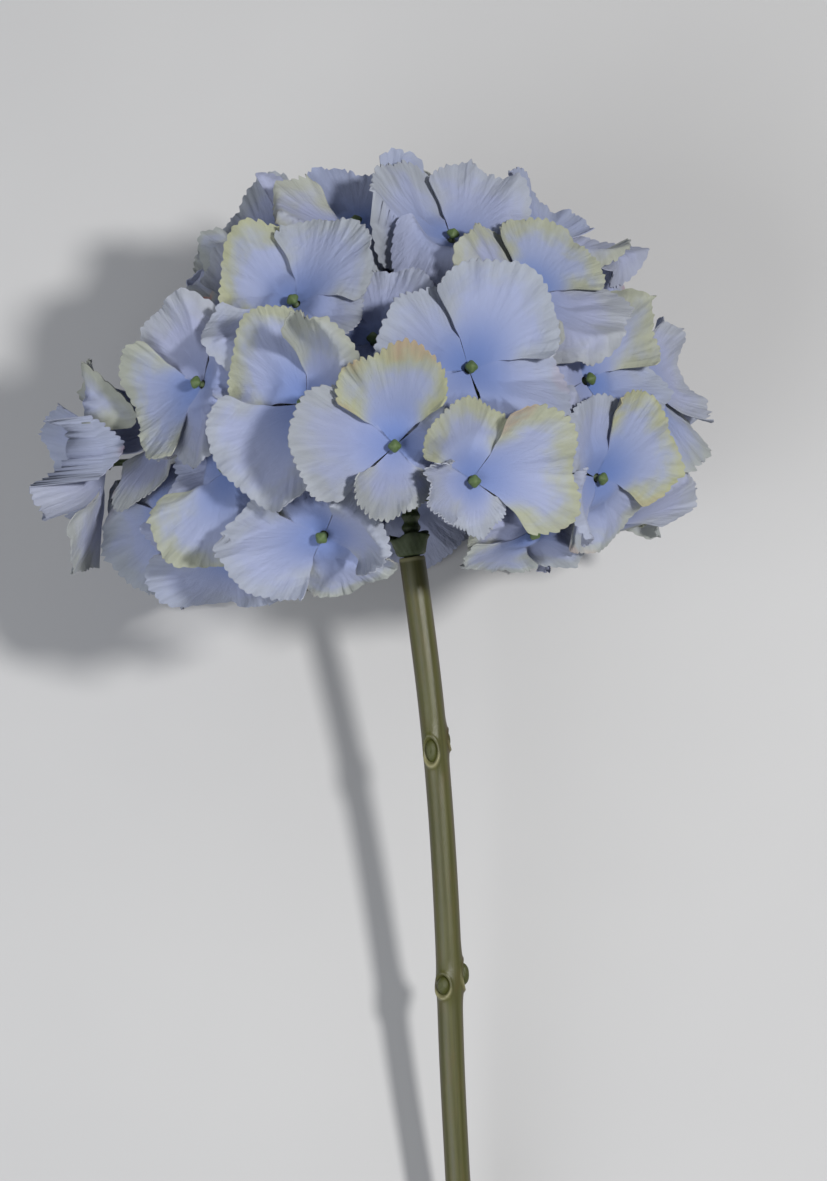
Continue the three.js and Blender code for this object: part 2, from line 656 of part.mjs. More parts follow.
// The stem: a moulded tube with a socket at the top, pockets for the plugs and a bore for the wire
function stemGeometry() {
  const length = stemCurve.getLength();
  const steps = 10;
  const path = stemPath(0, length, steps);
  const radii = path.map((_, i) => THREE.MathUtils.lerp(STEM_RADIUS, CUT_END_RADIUS, i / steps));
  let stem = toSolid(sweep(path, radii, 12));
  for (const bud of BUDS) {
    const { out, seat } = budFrame(bud);
    const inward = out.multiplyScalar(seat - PLUG_SEAT - LIP_SINK);
    const lip = budSolid(bud, LIP, 6, LIP_HEIGHT * bud.half[1]).translate(inward.toArray());
    stem = stem.add(lip).subtract(budSolid(bud, CLEARANCE));
  }
  const bore = stemPath(0, length, 6);
  bore.at(-1).add(stemPoint(length).sub(stemPoint(length - 2)));
  const boreRadii = bore.map(() => WIRE_RADIUS + CLEARANCE);
  const mouth = stemPoint(0).add(stemPoint(0).sub(stemPoint(2)));
  const socket = [mouth, stemPoint(SOCKET_DEPTH / 2), stemPoint(SOCKET_DEPTH)];
  const socketRadii = socket.map(() => SOCKET_RADIUS);
  stem = stem.subtract(toSolid(sweep(bore, boreRadii, 8))).subtract(toSolid(sweep(socket, socketRadii, 8)));
  return toGeometry(stem);
}

function wireGeometry() {
  const length = stemCurve.getLength();
  const path = stemPath(SOCKET_DEPTH + 1, length, 6);
  return sweep(path, path.map(() => WIRE_RADIUS), 6);
}

// A short frilled cup on the stem's top
function collarGeometry() {
  const up = stemPoint(0).sub(stemPoint(4)).normalize();
  const base = stemPoint(0).addScaledVector(up, CLEARANCE);
  const side = up.clone().cross(FRONT);
  const outside = [[0.8, 0], [2, 0], [3, 3.4], [4.2, 6.6]];
  const inside = [[3.2, 6.9], [1.9, 3.8]];
  const rings = [...outside, ...inside];
  const sides = 12;
  const points = [];
  for (const [thickness, height] of rings) {
    for (let s = 0; s < sides; s++) {
      const turn = (2 * Math.PI * s) / sides;
      const frill = Math.min(1, height / COLLAR_FLAT) * (s % 2 === 0 ? COLLAR_FRILL : -COLLAR_FRILL);
      const lift = height > COLLAR_FLAT ? COLLAR_WAVE * Math.sin(3 * turn + 1) : 0;
      const out = FRONT.clone().multiplyScalar(Math.cos(turn)).addScaledVector(side, Math.sin(turn));
      out.multiplyScalar(SHANK_RADIUS + thickness + frill);
      points.push(base.clone().add(out).addScaledVector(up, height + lift));
    }
  }
  const faces = [];
  for (let level = 0; level < rings.length; level++) {
    const next = (level + 1) % rings.length;
    for (let s = 0; s < sides; s++) {
      const beside = (s + 1) % sides;
      faces.push([level * sides + s, level * sides + beside, next * sides + beside]);
      faces.push([level * sides + s, next * sides + beside, next * sides + s]);
    }
  }
  return geometryOf(points, faces);
}

// The green spray: a ribbed shank, a core that carries on up the head, and a stalk for each floret
function sprayGeometry() {
  const neck = place(...NECK_TOP);
  const crown = HEAD_MIDDLE.clone().addScaledVector(HEAD_AXIS, CROWN_HEIGHT);
  const path = [stemPoint(SOCKET_DEPTH - 1), stemPoint(0)];
  const radii = [SHANK_RADIUS - SHANK_PLAY, SHANK_RADIUS];
  for (let i = 1; i <= SHANK_RIBS; i++) {
    path.push(stemPoint(0).lerp(neck, i / SHANK_RIBS));
    radii.push(SHANK_RADIUS + RIB_SWELL[(i + 1) % 2]);
  }
  path.push(neck.clone().lerp(HEAD_MIDDLE, CORE_START), HEAD_MIDDLE, crown);
  radii.push(CORE_RADIUS, CORE_RADIUS, CROWN_RADIUS);
  const core = toSolid(sweep(path, radii, 8));
  const stalks = florets.map((floret) => stalkSolid(floret, neck, crown));
  return toGeometry(wasm.Manifold.union([core, ...stalks]));
}

// A stalk from the core to a floret, with a plate under its hub, a pin through it and a bead on top
function stalkSolid(floret, neck, crown) {
  const { direction } = floret;
  const [foot, top] = STALK_ROOTS;
  const height = THREE.MathUtils.clamp((direction.dot(HEAD_AXIS) - foot) / (top - foot), 0, 1);
  const root = neck.clone().lerp(HEAD_MIDDLE, Math.min(1, 2 * height));
  root.lerp(crown, Math.max(0, 2 * height - 1));
  const hub = floret.dome - floret.sink;
  const seat = hub - FABRIC / 2 - CLEARANCE;
  const pinTop = hub + FABRIC / 2 + 2 * CLEARANCE + PIN_PLAY;
  const outline = [
    [seat - STALK_REACH, STALK_RADIUS],
    [seat - SEAT_THICKNESS, SEAT_RADIUS],
    [seat, PIN_RADIUS],
    [pinTop, PIN_RADIUS],
    [pinTop + BEAD_LENGTH / 2, BEAD_RADIUS],
    [pinTop + BEAD_LENGTH, BEAD_TIP],
  ];
  const path = outline.map(([reach]) => HEAD_MIDDLE.clone().addScaledVector(direction, reach));
  const radii = outline.map(([, radius]) => radius);
  return toSolid(sweep([root, ...path], [STALK_RADIUS + STALK_FOOT, ...radii], 4));
}

function finish(color, roughness, metalness = 0) {
  return new THREE.MeshStandardMaterial({ color, roughness, metalness });
}

const petalCloth = finish(PETAL_COLOR, 0.85);
const stemPlastic = finish(STEM_COLOR, 0.45);
const budPlastic = finish(BUD_COLOR, 0.5);
const sprayPlastic = finish(SPRAY_COLOR, 0.55);
const steelWire = finish(WIRE_COLOR, 0.4, 1);

const flower = new THREE.Group();
flower.name = "hydrangea";

function addPiece(name, geometry, material) {
  const mesh = new THREE.Mesh(geometry, material);
  mesh.name = name;
  flower.add(mesh);
}

addPiece("stem", stemGeometry(), stemPlastic);
addPiece("stem_wire", wireGeometry(), steelWire);
addPiece("collar", collarGeometry(), sprayPlastic);
addPiece("spray", sprayGeometry(), sprayPlastic);
for (const bud of BUDS) {
  addPiece(bud.name, toGeometry(budSolid(bud, 0)), budPlastic);
}
florets.forEach((_, rank) => {
  addPiece(`floret_${String(rank + 1).padStart(2, "0")}`, floretGeometry(rank), petalCloth);
});

export default flower;
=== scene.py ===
# %% [markdown]
# An artificial hydrangea: a round head of cloth florets on a moulded green stem, lying on its back.
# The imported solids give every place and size. This file dresses them: cloth with toothed edges and
# pleats, a satin plastic stem with its sockets, and the green spray that carries the florets.
# Everything below is in millimetres until a mesh is made, because that is how such parts are drawn.

# %% Load the fixed frame
import math
from types import SimpleNamespace

import bpy
import numpy as np
from mathutils import Matrix


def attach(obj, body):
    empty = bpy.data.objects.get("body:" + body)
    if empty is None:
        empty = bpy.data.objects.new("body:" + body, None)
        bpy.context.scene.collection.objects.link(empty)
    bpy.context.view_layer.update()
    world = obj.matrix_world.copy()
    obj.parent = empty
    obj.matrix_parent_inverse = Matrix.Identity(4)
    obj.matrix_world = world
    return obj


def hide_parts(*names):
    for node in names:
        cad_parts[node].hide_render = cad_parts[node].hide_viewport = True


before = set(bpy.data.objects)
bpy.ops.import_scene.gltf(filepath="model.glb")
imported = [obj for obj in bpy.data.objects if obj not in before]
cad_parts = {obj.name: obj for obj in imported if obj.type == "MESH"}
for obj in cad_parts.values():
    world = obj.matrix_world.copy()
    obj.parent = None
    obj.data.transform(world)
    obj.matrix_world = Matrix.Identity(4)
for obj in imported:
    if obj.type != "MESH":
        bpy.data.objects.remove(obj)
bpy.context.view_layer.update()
MM = 0.001

# %% [markdown]
# Three directions belong to the flower: to its right, along the stem towards the crown, and out of its
# front. They are tipped against the table, because the head is much thicker than the stem and both
# touch it: the angle is such that the stem's cut end comes down on the table.

# %% The flower's own directions
HEAD_LEAN = math.radians(9)
HEAD_MIDDLE = np.array([10.72, 119.64, 82])
STEM_END, CUT_END_RADIUS = (22, -336), 4.0
CUT_END_REACH = math.hypot(STEM_END[1], CUT_END_RADIUS)
TIP = math.asin(HEAD_MIDDLE[2] / CUT_END_REACH) - math.atan2(CUT_END_RADIUS, -STEM_END[1])
RIGHT = np.array([1.0, 0.0, 0.0])
ALONG = np.array([0.0, math.cos(TIP), math.sin(TIP)])
FRONT = np.array([0.0, -math.sin(TIP), math.cos(TIP)])


def heading(right, along, front):
    return right * RIGHT + along * ALONG + front * FRONT


def unit(vectors):
    return vectors / np.linalg.norm(vectors, axis=-1, keepdims=True)


def turns_around(sides):
    return 2 * math.pi * np.arange(sides) / sides


HEAD_AXIS = heading(-math.sin(HEAD_LEAN), math.cos(HEAD_LEAN), 0)
HEAD_SIDE = heading(math.cos(HEAD_LEAN), math.sin(HEAD_LEAN), 0)
print("the flower is tipped by", round(math.degrees(TIP), 1), "degrees")

# %% [markdown]
# The photograph was taken about a metre away, level with the collar. A lens of 94 mm on a frame
# 36 mm high gives the same field. The camera looks down on the lying flower along its own front, so
# the flower stands upright in the picture, as it did in the photograph.

# %% Camera
CAMERA_DISTANCE, LENS, FRAME_HEIGHT = 1000, 94.1, 36
STEM_TOP = (3, -36)
AIM_RIGHT, AIM_DOWN = 0.5, 10.9  # the picture's middle, from the top of the stem


def axes_matrix(right, up, back, place):
    columns = [tuple(right) + (0,), tuple(up) + (0,), tuple(back) + (0,), tuple(place * MM) + (1,)]
    return Matrix(columns).transposed()


camera_data = bpy.data.cameras.new("camera")
camera_data.sensor_fit = "VERTICAL"
camera_data.sensor_height = FRAME_HEIGHT
camera_data.lens = LENS
camera = bpy.data.objects.new("camera", camera_data)
aim = HEAD_MIDDLE + heading(STEM_TOP[0] + AIM_RIGHT, STEM_TOP[1] - AIM_DOWN, 0)
camera.matrix_world = axes_matrix(RIGHT, ALONG, FRONT, aim + CAMERA_DISTANCE * FRONT)
bpy.context.scene.collection.objects.link(camera)
bpy.context.scene.camera = camera
bpy.context.scene.view_settings.view_transform = "Standard"
print("the camera is", CAMERA_DISTANCE, "mm away with a lens of", LENS, "mm")

# %% [markdown]
# A node material is a chain of small steps. One function adds a node, gives it its settings and fills
# its inputs: a socket is linked, a colour code is turned to linear light and a number is set. It
# returns the node's first live output, which is what the next step needs. Colours are written as the
# sRGB hex values that a designer would pick.

# %% Colour and node helpers
SMOOTH = {"interpolation_type": "SMOOTHSTEP"}
COLORS = {"data_type": "RGBA"}
MULTIPLY = {"operation": "MULTIPLY"}
MULTIPLY_ADD = {"operation": "MULTIPLY_ADD"}
SUBTRACT = {"operation": "SUBTRACT"}


def linear(code):
    parts = [int(code[i:i + 2], 16) / 255 for i in (1, 3, 5)]
    return tuple(c / 12.92 if c <= 0.04045 else ((c + 0.055) / 1.055) ** 2.4 for c in parts) + (1.0,)


def fill_inputs(tree, node, inputs):
    for name, value in inputs.items():
        if isinstance(value, bpy.types.NodeSocket):
            tree.links.new(value, node.inputs[name])
        else:
            node.inputs[name].default_value = linear(value) if isinstance(value, str) else value


def add_node(tree, kind, settings=(), inputs=()):
    node = tree.nodes.new("ShaderNode" + kind)
    for name, value in dict(settings).items():
        setattr(node, name, value)
    fill_inputs(tree, node, dict(inputs))
    return next(output for output in node.outputs if not output.is_unavailable)


def new_material(name, inputs):
    material = bpy.data.materials.new(name)
    material.use_nodes = True
    shader = material.node_tree.nodes["Principled BSDF"]
    fill_inputs(material.node_tree, shader, inputs)
    return material, material.node_tree, shader


print("a mid grey of #808080 is", round(linear("#808080")[0], 3), "in linear light")

# %% [markdown]
# Only the flower is the object. The floor is a plain pale sheet. A faint mottle in
# its matt paint keeps it from looking like a blank in the picture.

# %% Floor
FLOOR_HALF = 4  # metres
floor_corners = [(x * FLOOR_HALF, y * FLOOR_HALF, 0) for x, y in ((-1, -1), (1, -1), (1, 1), (-1, 1))]
floor_mesh = bpy.data.meshes.new("floor")
floor_mesh.from_pydata(floor_corners, [], [(0, 1, 2, 3)])
floor = bpy.data.objects.new("floor", floor_mesh)
bpy.context.scene.collection.objects.link(floor)
floor_paint, tree, shader = new_material("matt_floor_paint", {"Roughness": 0.9})
grain = add_node(tree, "TexNoise", inputs={"Scale": 60.0, "Detail": 4.0})
color = add_node(tree, "Mix", COLORS, {"Factor": grain, "A": "#bdbdbe", "B": "#c6c6c6"})
fill_inputs(tree, shader, {"Base Color": color})
floor_mesh.materials.append(floor_paint)
print("the floor is", 2 * FLOOR_HALF, "m wide")

# %% [markdown]
# A softbox stands to the right of the camera: it gives each petal one bright side and a shadow with a
# soft edge on the petal beneath. A wide weak light from the left keeps the shadows blue-grey. A light's
# place is given in millimetres from the middle of the head, which it faces, and its size in metres.

# %% Lights
def area_light(name, right, along, front, size, watts, color):
    data = bpy.data.lights.new(name, "AREA")
    data.shape = "DISK"
    data.size = size
    data.energy = watts
    data.color = color
    light = bpy.data.objects.new(name, data)
    offset = heading(right, along, front)
    back = unit(offset)
    side = unit(np.cross(ALONG, back))
    up = np.cross(back, side)
    light.matrix_world = axes_matrix(side, up, back, HEAD_MIDDLE + offset)
    bpy.context.scene.collection.objects.link(light)


area_light("key_softbox", 560, 160, 1150, 0.14, 13.5, (1.0, 0.985, 0.96))
area_light("fill_left", -850, -500, 1050, 1.2, 10.5, (0.96, 0.975, 1.0))
world = bpy.data.worlds.new("studio")
bpy.context.scene.world = world
world.use_nodes = True
background = world.node_tree.nodes["Background"]
fill_inputs(world.node_tree, background, {"Color": "#dfe3ea", "Strength": 0.27})
print("one softbox, one fill light and a pale sky of strength", background.inputs["Strength"].default_value)

# %% [markdown]
# A cloth hydrangea is assembled by hand, and never quite evenly. The florets that face the camera are
# placed from the photograph, uppermost first: where each is from the head's middle, how far it
# is turned, its size, and how far the rims of its four petals stand off the dome.

# %% Listed florets
FRONT_FLORETS = [
    dict(at=(21, -14, 80), turn=5, size=1.1, rises=(16, 25, 10, 12)),
    dict(at=(-2, -4, 84), turn=80, size=1.1, rises=(22, 17, 9, 14)),
    dict(at=(20, 19, 79), turn=48, size=1.1, bead=True, rises=(12, 8, 16, 9)),
    dict(at=(-29, 9, 80), turn=38, size=1.1, bead=True, rises=(25, 11, 8, 20)),
    dict(at=(57, -12, 55), turn=28, size=1.06, bead=True, rises=(8, 14, 17, 12)),
    dict(at=(-33, 41, 66), turn=50, size=1.08, bead=True, rises=(11, 16, 8, 10)),
    dict(at=(-24, -31, 75), turn=8, size=1.06, bead=True, rises=(15, 22, 14, 7)),
    dict(at=(38, 42, 58), turn=45, size=1.06, rises=(10, 14, 22, 14)),
    dict(at=(58, 18, 55), turn=62, size=1.06, rises=(12, 6, 18, 14)),
    dict(at=(-9, 30, 77), turn=58, size=1.0, bead=True),
    dict(at=(41, -30, 61), turn=60, size=0.98, bead=True, rises=(9, 8, 6, 12)),
    dict(at=(-64, 17, 57), turn=20, size=1.06, rises=(22, 14, 8, 16)),
    dict(at=(-54, -10, 67), turn=66, size=1.06, rises=(14, 10, 12, 20)),
    dict(at=(15, 60, 50), turn=30, size=1.04, rises=(15, 16, 22, 21)),
    dict(at=(-58, 40, 46), turn=80, size=1.04, rises=(12, 12, 16, 22)),
    dict(at=(-14, 66, 42), turn=0, size=1, rises=(14, 11, 19, 24)),
    dict(at=(-51, -38, 55), turn=35, size=1.04),
    dict(at=(78, 18, 30), turn=15, size=1.04, rises=(8, 14, 23, 14)),
    dict(at=(-42, 62, 30), turn=50, size=1.0),
    dict(at=(76, -34, 28), turn=75, size=1.04, rises=(14, 14, 5, 10)),
    dict(at=(-96, -6, 6), turn=350, size=1.06, rises=(22, 10, 22, 12), lift=12),
    dict(at=(-83, 8, 26), turn=10, size=1.04),
    dict(at=(46, 62, 24), turn=50, size=1.04, rises=(12, 12, 23, 16)),
    dict(at=(88, -8, 20), turn=40, size=1.0),
    dict(at=(-76, -24, 38), turn=25, size=1.04),
    dict(at=(66, 44, 16), turn=85, size=1.04),
]
print(len(FRONT_FLORETS), "florets are placed by eye")

# %% [markdown]
# The cloth has to cover the solids exactly, so what was drawn at random for them is drawn again here,
# with the same small generator of random numbers and the same seeds.

# %% A seeded draw
PLACES_SEED, PETALS_SEED = 102, 3495


def make_draw(seed):
    state = seed

    def draw():
        nonlocal state
        state = (state + 0x6D2B79F5) & 0xFFFFFFFF
        mixed = ((state ^ (state >> 15)) * (state | 1)) & 0xFFFFFFFF
        mixed ^= (mixed + (mixed ^ (mixed >> 7)) * (mixed | 61)) & 0xFFFFFFFF
        return (mixed ^ (mixed >> 14)) / 2 ** 32

    return draw


print("the first draw for the places is", round(make_draw(PLACES_SEED)(), 4))

# %% [markdown]
# The other florets go into the emptiest place left, one by one, each the best of some hundred random
# places. Then they are pushed apart until they are even, like charges on a ball. Those that are
# listed stay where they are, and none may leave the part of the dome that carries florets.

# %% Florets placed by a rule
FLORET_COUNT = 47
CROWN_LIMIT = math.radians(98)
PLACE_TRIALS, SPREAD_ROUNDS, SPREAD_PUSH, SPREAD_RANGE = 400, 80, 0.004, 1.0


def angles_between(directions, direction):
    return np.arccos(np.clip(directions @ direction, -1, 1))


def floret_directions():
    directions = [unit(heading(*floret["at"])) for floret in FRONT_FLORETS]
    draw = make_draw(PLACES_SEED)
    while len(directions) < FLORET_COUNT:
        candidates = []
        for _ in range(PLACE_TRIALS):
            angle = math.acos(math.cos(CROWN_LIMIT) + (1 - math.cos(CROWN_LIMIT)) * draw())
            turn = 2 * math.pi * draw()
            candidates.append(math.cos(angle) * HEAD_AXIS + math.sin(angle) * math.cos(turn) * HEAD_SIDE
                              + math.sin(angle) * math.sin(turn) * FRONT)
        room = np.arccos(np.clip(np.array(candidates) @ np.array(directions).T, -1, 1)).min(axis=1)
        directions.append(candidates[int(room.argmax())])
    directions = np.array(directions)
    for _ in range(SPREAD_ROUNDS):
        for i in range(len(FRONT_FLORETS), FLORET_COUNT):
            angles = angles_between(directions, directions[i])
            near = (angles > 1e-6) & (angles < SPREAD_RANGE)
            push = (directions[i] - directions[near]) * (SPREAD_PUSH / angles[near] ** 3)[:, None]
            moved = unit(directions[i] + push.sum(axis=0))
            angle = float(angles_between(moved, HEAD_AXIS))
            if angle > CROWN_LIMIT:
                moved = unit(moved + (HEAD_AXIS - moved) * (angle - CROWN_LIMIT) / angle)
            directions[i] = moved
    return directions


places = floret_directions()
print(len(places) - len(FRONT_FLORETS), "florets are placed by the rule")

# %% [markdown]
# Florets sit on a dome that is round above and flatter below. Everything on the head is measured from
# this dome, outwards, which keeps sheets that lie over each other in order.

# %% The dome
HEAD_RADIUS, HEAD_RISE, HEAD_DROP = 84, 77, 40
UNDERSIDE_POWER = 6


def smoothstep(value, low, high):
    share = np.clip((value - low) / (high - low), 0, 1)
    return share * share * (3 - 2 * share)


def wrap(angle):
    return np.arctan2(np.sin(angle), np.cos(angle))


def dome_radius(directions):
    rise = directions @ HEAD_AXIS
    round_part = 1 / np.sqrt((1 - rise * rise) / HEAD_RADIUS ** 2 + rise * rise / HEAD_RISE ** 2)
    flat_part = np.maximum(0, -rise) / HEAD_DROP
    return (round_part ** -UNDERSIDE_POWER + flat_part ** UNDERSIDE_POWER) ** (-1 / UNDERSIDE_POWER)


print("the dome's florets are", round(float(dome_radius(places).min())), "to",
      round(float(dome_radius(places).max())), "mm from its middle")

# %% [markdown]
# Each floret is four fan petals die-cut from one piece of stiffened cloth. A petal leaves the hub
# flat and curls outwards, each by its own amount. The numbers are a petal's own: which way it points,
# how far its rim stands off the dome, how it tilts, waves and folds.

# %% The petals of each floret
PETAL_LENGTH, FLAT_RISE, MOST_RISE, PRESSED_RISE, STEEPEST = 27, 5, 25, 13, 1.5
BACK_CUP, FRONT_CUP, PRESSED_TILT = 10, 14, 0.8
SECTOR = math.pi / 4
PETAL_SIDE = 1.2 * SECTOR
HUB_RISE, HUB_RADIUS, HOLE_RADIUS, CUP_POWER = 11, 8, 1.5, 1.4
HIDDEN_SIZE, RISE_SHARE, CLOTH_SHARE = (1.06, 1.16), (0.25, 1.55), (0.95, 1.05)
TURN_PLAY, TILT, WAVE, FOLD = (-5, 5), (-5, 5), (1, 2.8), (-3.15, 3.85)


def make_florets():
    draw = make_draw(PETALS_SEED)
    made = []

    def between(limits):
        return limits[0] + (limits[1] - limits[0]) * draw()

    for index, direction in enumerate(places):
        in_front = index < len(FRONT_FLORETS)
        shown = FRONT_FLORETS[index] if in_front else dict(turn=360 * draw(), size=between(HIDDEN_SIZE))
        cup = FRONT_CUP if in_front else BACK_CUP
        up = unit(HEAD_AXIS - direction * (HEAD_AXIS @ direction))
        petals = []
        for k in range(4):
            rise = cup * between(RISE_SHARE)
            if "rises" in shown:
                rise = shown["rises"][k]
            elif direction[2] < -PRESSED_TILT:
                rise = max(rise, PRESSED_RISE)
            cloth = PETAL_LENGTH * shown["size"] * between(CLOTH_SHARE)
            petals.append(SimpleNamespace(
                rise=rise, cloth=cloth, length=math.sqrt(cloth ** 2 - (rise - FLAT_RISE) ** 2),
                axis=math.radians(shown["turn"] + 90 * k + between(TURN_PLAY)), tilt=between(TILT),
                wave=between(WAVE), phase=2 * math.pi * draw(), fold=between(FOLD), upper=k % 2 == 0))
        made.append(SimpleNamespace(
            direction=direction, up=up, right=np.cross(up, direction), petals=petals,
            dome=float(dome_radius(direction)), sink=0.0, lift=shown.get("lift", 0),
            bead_shows=shown.get("bead", False)))
    return made


florets = make_florets()
print("petals lie between", round(min(p.length for f in florets for p in f.petals), 1), "and",
      round(max(p.length for f in florets for p in f.petals), 1), "mm long")

# %% [markdown]
# A place on a floret is given by its reach from the pin, along the dome, and its turn round the pin.
# Two functions lead from such a place to a direction from the head's middle and back again.

# %% Places seen from a floret
EDGE_ON = 0.05  # directions that drop less than this never meet the table


def seen_from(floret, directions):
    reach = HEAD_RADIUS * angles_between(directions, floret.direction)
    return reach, np.arctan2(directions @ floret.up, directions @ floret.right)


def directions_from(floret, reach, turn):
    angle = reach / HEAD_RADIUS
    return (np.cos(angle)[:, None] * floret.direction
            + (np.sin(angle) * np.cos(turn))[:, None] * floret.right
            + (np.sin(angle) * np.sin(turn))[:, None] * floret.up)


def surface_radius(directions, height):
    down = np.minimum(directions[..., 2], -EDGE_ON)
    return np.where(directions[..., 2] < -EDGE_ON, (HEAD_MIDDLE[2] - height) / -down, np.inf)


print("the first petal points", round(math.degrees(florets[0].petals[0].axis)), "degrees round its pin")

# %% [markdown]
# A petal widens from the hub to a broad rim with rounded corners. Left to itself it leaves the hub
# level, then curls away from the dome, with a crease down its middle, a tilt and a slow wave.

# %% A petal's outline and its free height
ROOMY_SHARE, NARROW_FLARE, ROOMY_FLARE, WIDENED = 0.85, 0.05, 0.16, 0.1
CORNER_ROUND, RIM_SWELL = 0.24, 0.03
WAVE_TURN, WAVE_POWER = 3.3, 1.5


def half_width(petal, share):
    flare = ROOMY_FLARE if petal.length > ROOMY_SHARE * petal.cloth else NARROW_FLARE
    return SECTOR * (1 + WIDENED * smoothstep(share, 0.02, 0.35) + flare * smoothstep(share, 0.4, 1))


def rim_reach(petal, across):
    swell = RIM_SWELL * np.cos(3 * petal.phase + 5 * across)
    return petal.length * (1 - CORNER_ROUND * np.abs(across) ** 3 + swell)


def hub_rise(reach):
    return HUB_RISE * (reach / PETAL_LENGTH) ** CUP_POWER


def blade_share(petal, reach):
    return np.clip((reach - HUB_RADIUS) / (petal.length - HUB_RADIUS), 0, 1.3)


def free_rise(floret, petal, reach, turn, dome):
    blade = blade_share(petal, reach)
    across = np.clip(turn / SECTOR, -1.4, 1.4)
    cup = hub_rise(reach) + (petal.rise - hub_rise(petal.length)) * blade ** CUP_POWER
    crease = petal.fold * (np.abs(across) - 0.5) * blade
    wave = petal.wave * blade ** WAVE_POWER * np.sin(WAVE_TURN * across + petal.phase)
    level = (floret.dome - dome) * (1 - smoothstep(reach, 3, 10))
    return cup + crease + petal.tilt * across * blade + wave + level - floret.sink


print("petals widen to", round(math.degrees(2 * half_width(florets[0].petals[0], 1.0))), "degrees at the rim")

# %% [markdown]
# Petals of neighbouring florets overlap like shingles. To lay cloth on cloth without a collision
# solver, every sheet is a height over the dome. Where an upper petal passes, a sheet under it gives
# way by a fixed layer, wider where the petal is steep, and climbs again beyond the petal's rim.

# %% The room that a petal leaves below it
TUCK_REACH, TUCK_SLOPE = 5, 0.65


def outside_petal(petal, reach, turn):
    beyond = np.abs(turn) - PETAL_SIDE
    corner = rim_reach(petal, 1)
    along, off = reach * np.cos(beyond), reach * np.sin(beyond)
    past_corner = np.where(along > corner, np.hypot(along - corner, off), off)
    beside = np.where(beyond > math.pi / 2, reach, past_corner)
    return np.where(beyond <= 0, np.maximum(0, reach - rim_reach(petal, turn / PETAL_SIDE)), beside)


def allowance(petal, height, gap, reach, turn):
    climb = (petal.rise - hub_rise(petal.length)) / (petal.length - HUB_RADIUS)
    hub = HUB_RISE / PETAL_LENGTH * (reach / PETAL_LENGTH) ** (CUP_POWER - 1)
    steepness = CUP_POWER * (hub + climb * blade_share(petal, reach) ** (CUP_POWER - 1))
    clear = gap * np.hypot(1, steepness)
    return height - clear + TUCK_SLOPE * np.maximum(0, outside_petal(petal, reach, turn) - TUCK_REACH)


print("a sheet gives way up to", TUCK_REACH, "mm past a petal and then climbs")

# %% [markdown]
# Two petals of a floret lie over the other two, and the whole floret is held under all those before it
# in the list. The table is the last such sheet, and it presses the florets under the head flat.

# %% Laying the sheets over each other
FABRIC, LAYER, PAIR_LAYER, PARTED_REACH = 0.7, 2.5, 2.4, 14
FARTHEST_REACH = 1.6 * PETAL_LENGTH


def tucked_rises(floret, reach, turn, dome, ceiling):
    heights = [None] * 4
    pair_ceiling = np.full(len(reach), np.inf)
    for want_upper in (True, False):
        next_ceiling = np.full(len(reach), np.inf)
        for k, petal in enumerate(floret.petals):
            if petal.upper == want_upper:
                offset = wrap(turn - petal.axis)
                free = free_rise(floret, petal, reach, offset, dome)
                heights[k] = np.minimum(np.minimum(free, ceiling), pair_ceiling)
                gap = PAIR_LAYER * smoothstep(reach, HUB_RADIUS, PARTED_REACH)
                next_ceiling = np.minimum(next_ceiling, allowance(petal, heights[k], gap, reach, offset))
        if want_upper:
            pair_ceiling = next_ceiling
    return heights, pair_ceiling


def ceiling_over(rank, directions):
    dome = dome_radius(directions)
    ceiling = surface_radius(directions, FABRIC / 2) - dome
    for above in florets[:rank]:
        reach, turn = seen_from(above, directions)
        near = reach <= FARTHEST_REACH
        if not near.any():
            continue
        reach, turn, under = reach[near], turn[near], ceiling[near]
        heights, _ = tucked_rises(above, reach, turn, dome[near], under)
        for petal, height in zip(above.petals, heights):
            limit = allowance(petal, height, LAYER, reach, wrap(turn - petal.axis))
            under = np.minimum(under, limit)
        ceiling[near] = under
    return ceiling


room_over_last = ceiling_over(len(florets) - 1, florets[-1].direction[None])[0]
print("the last floret's hub may rise to", round(float(room_over_last), 1), "mm over the dome")

# %% [markdown]
# A petal stops short of any other floret's pin and of the gap where the neck shows. The cloth keeps
# its length: a petal that may not reach as far stands up steeper instead.

# %% Room for the pins
STALK_ROOM = 5
NECK_WINDOW = SimpleNamespace(direction=unit(heading(3.5, -28, 79)), room=7)
for rank, floret in enumerate(florets):
    shown_below = [other for other in florets[rank + 1:] if other.bead_shows]
    for other in florets[:rank] + shown_below + [NECK_WINDOW]:
        reach, turn = seen_from(floret, other.direction[None])
        room = getattr(other, "room", STALK_ROOM)
        for petal in floret.petals:
            side = PETAL_SIDE + room / reach[0]
            longest = reach[0] - room
            if abs(wrap(turn[0] - petal.axis)) < side and petal.length > longest:
                petal.length = longest
                bent = FLAT_RISE + math.sqrt(petal.cloth ** 2 - longest ** 2)
                petal.rise = min(MOST_RISE, bent, STEEPEST * (longest - HUB_RADIUS))
print(sum(p.length < 0.8 * p.cloth for f in florets for p in f.petals), "petals stand up steeply")

# %% [markdown]
# A hub slides down its pin until it and its bead clear the sheets and the table over them. That is
# felt at a few places all round, uppermost floret first, because each rests under those before it.

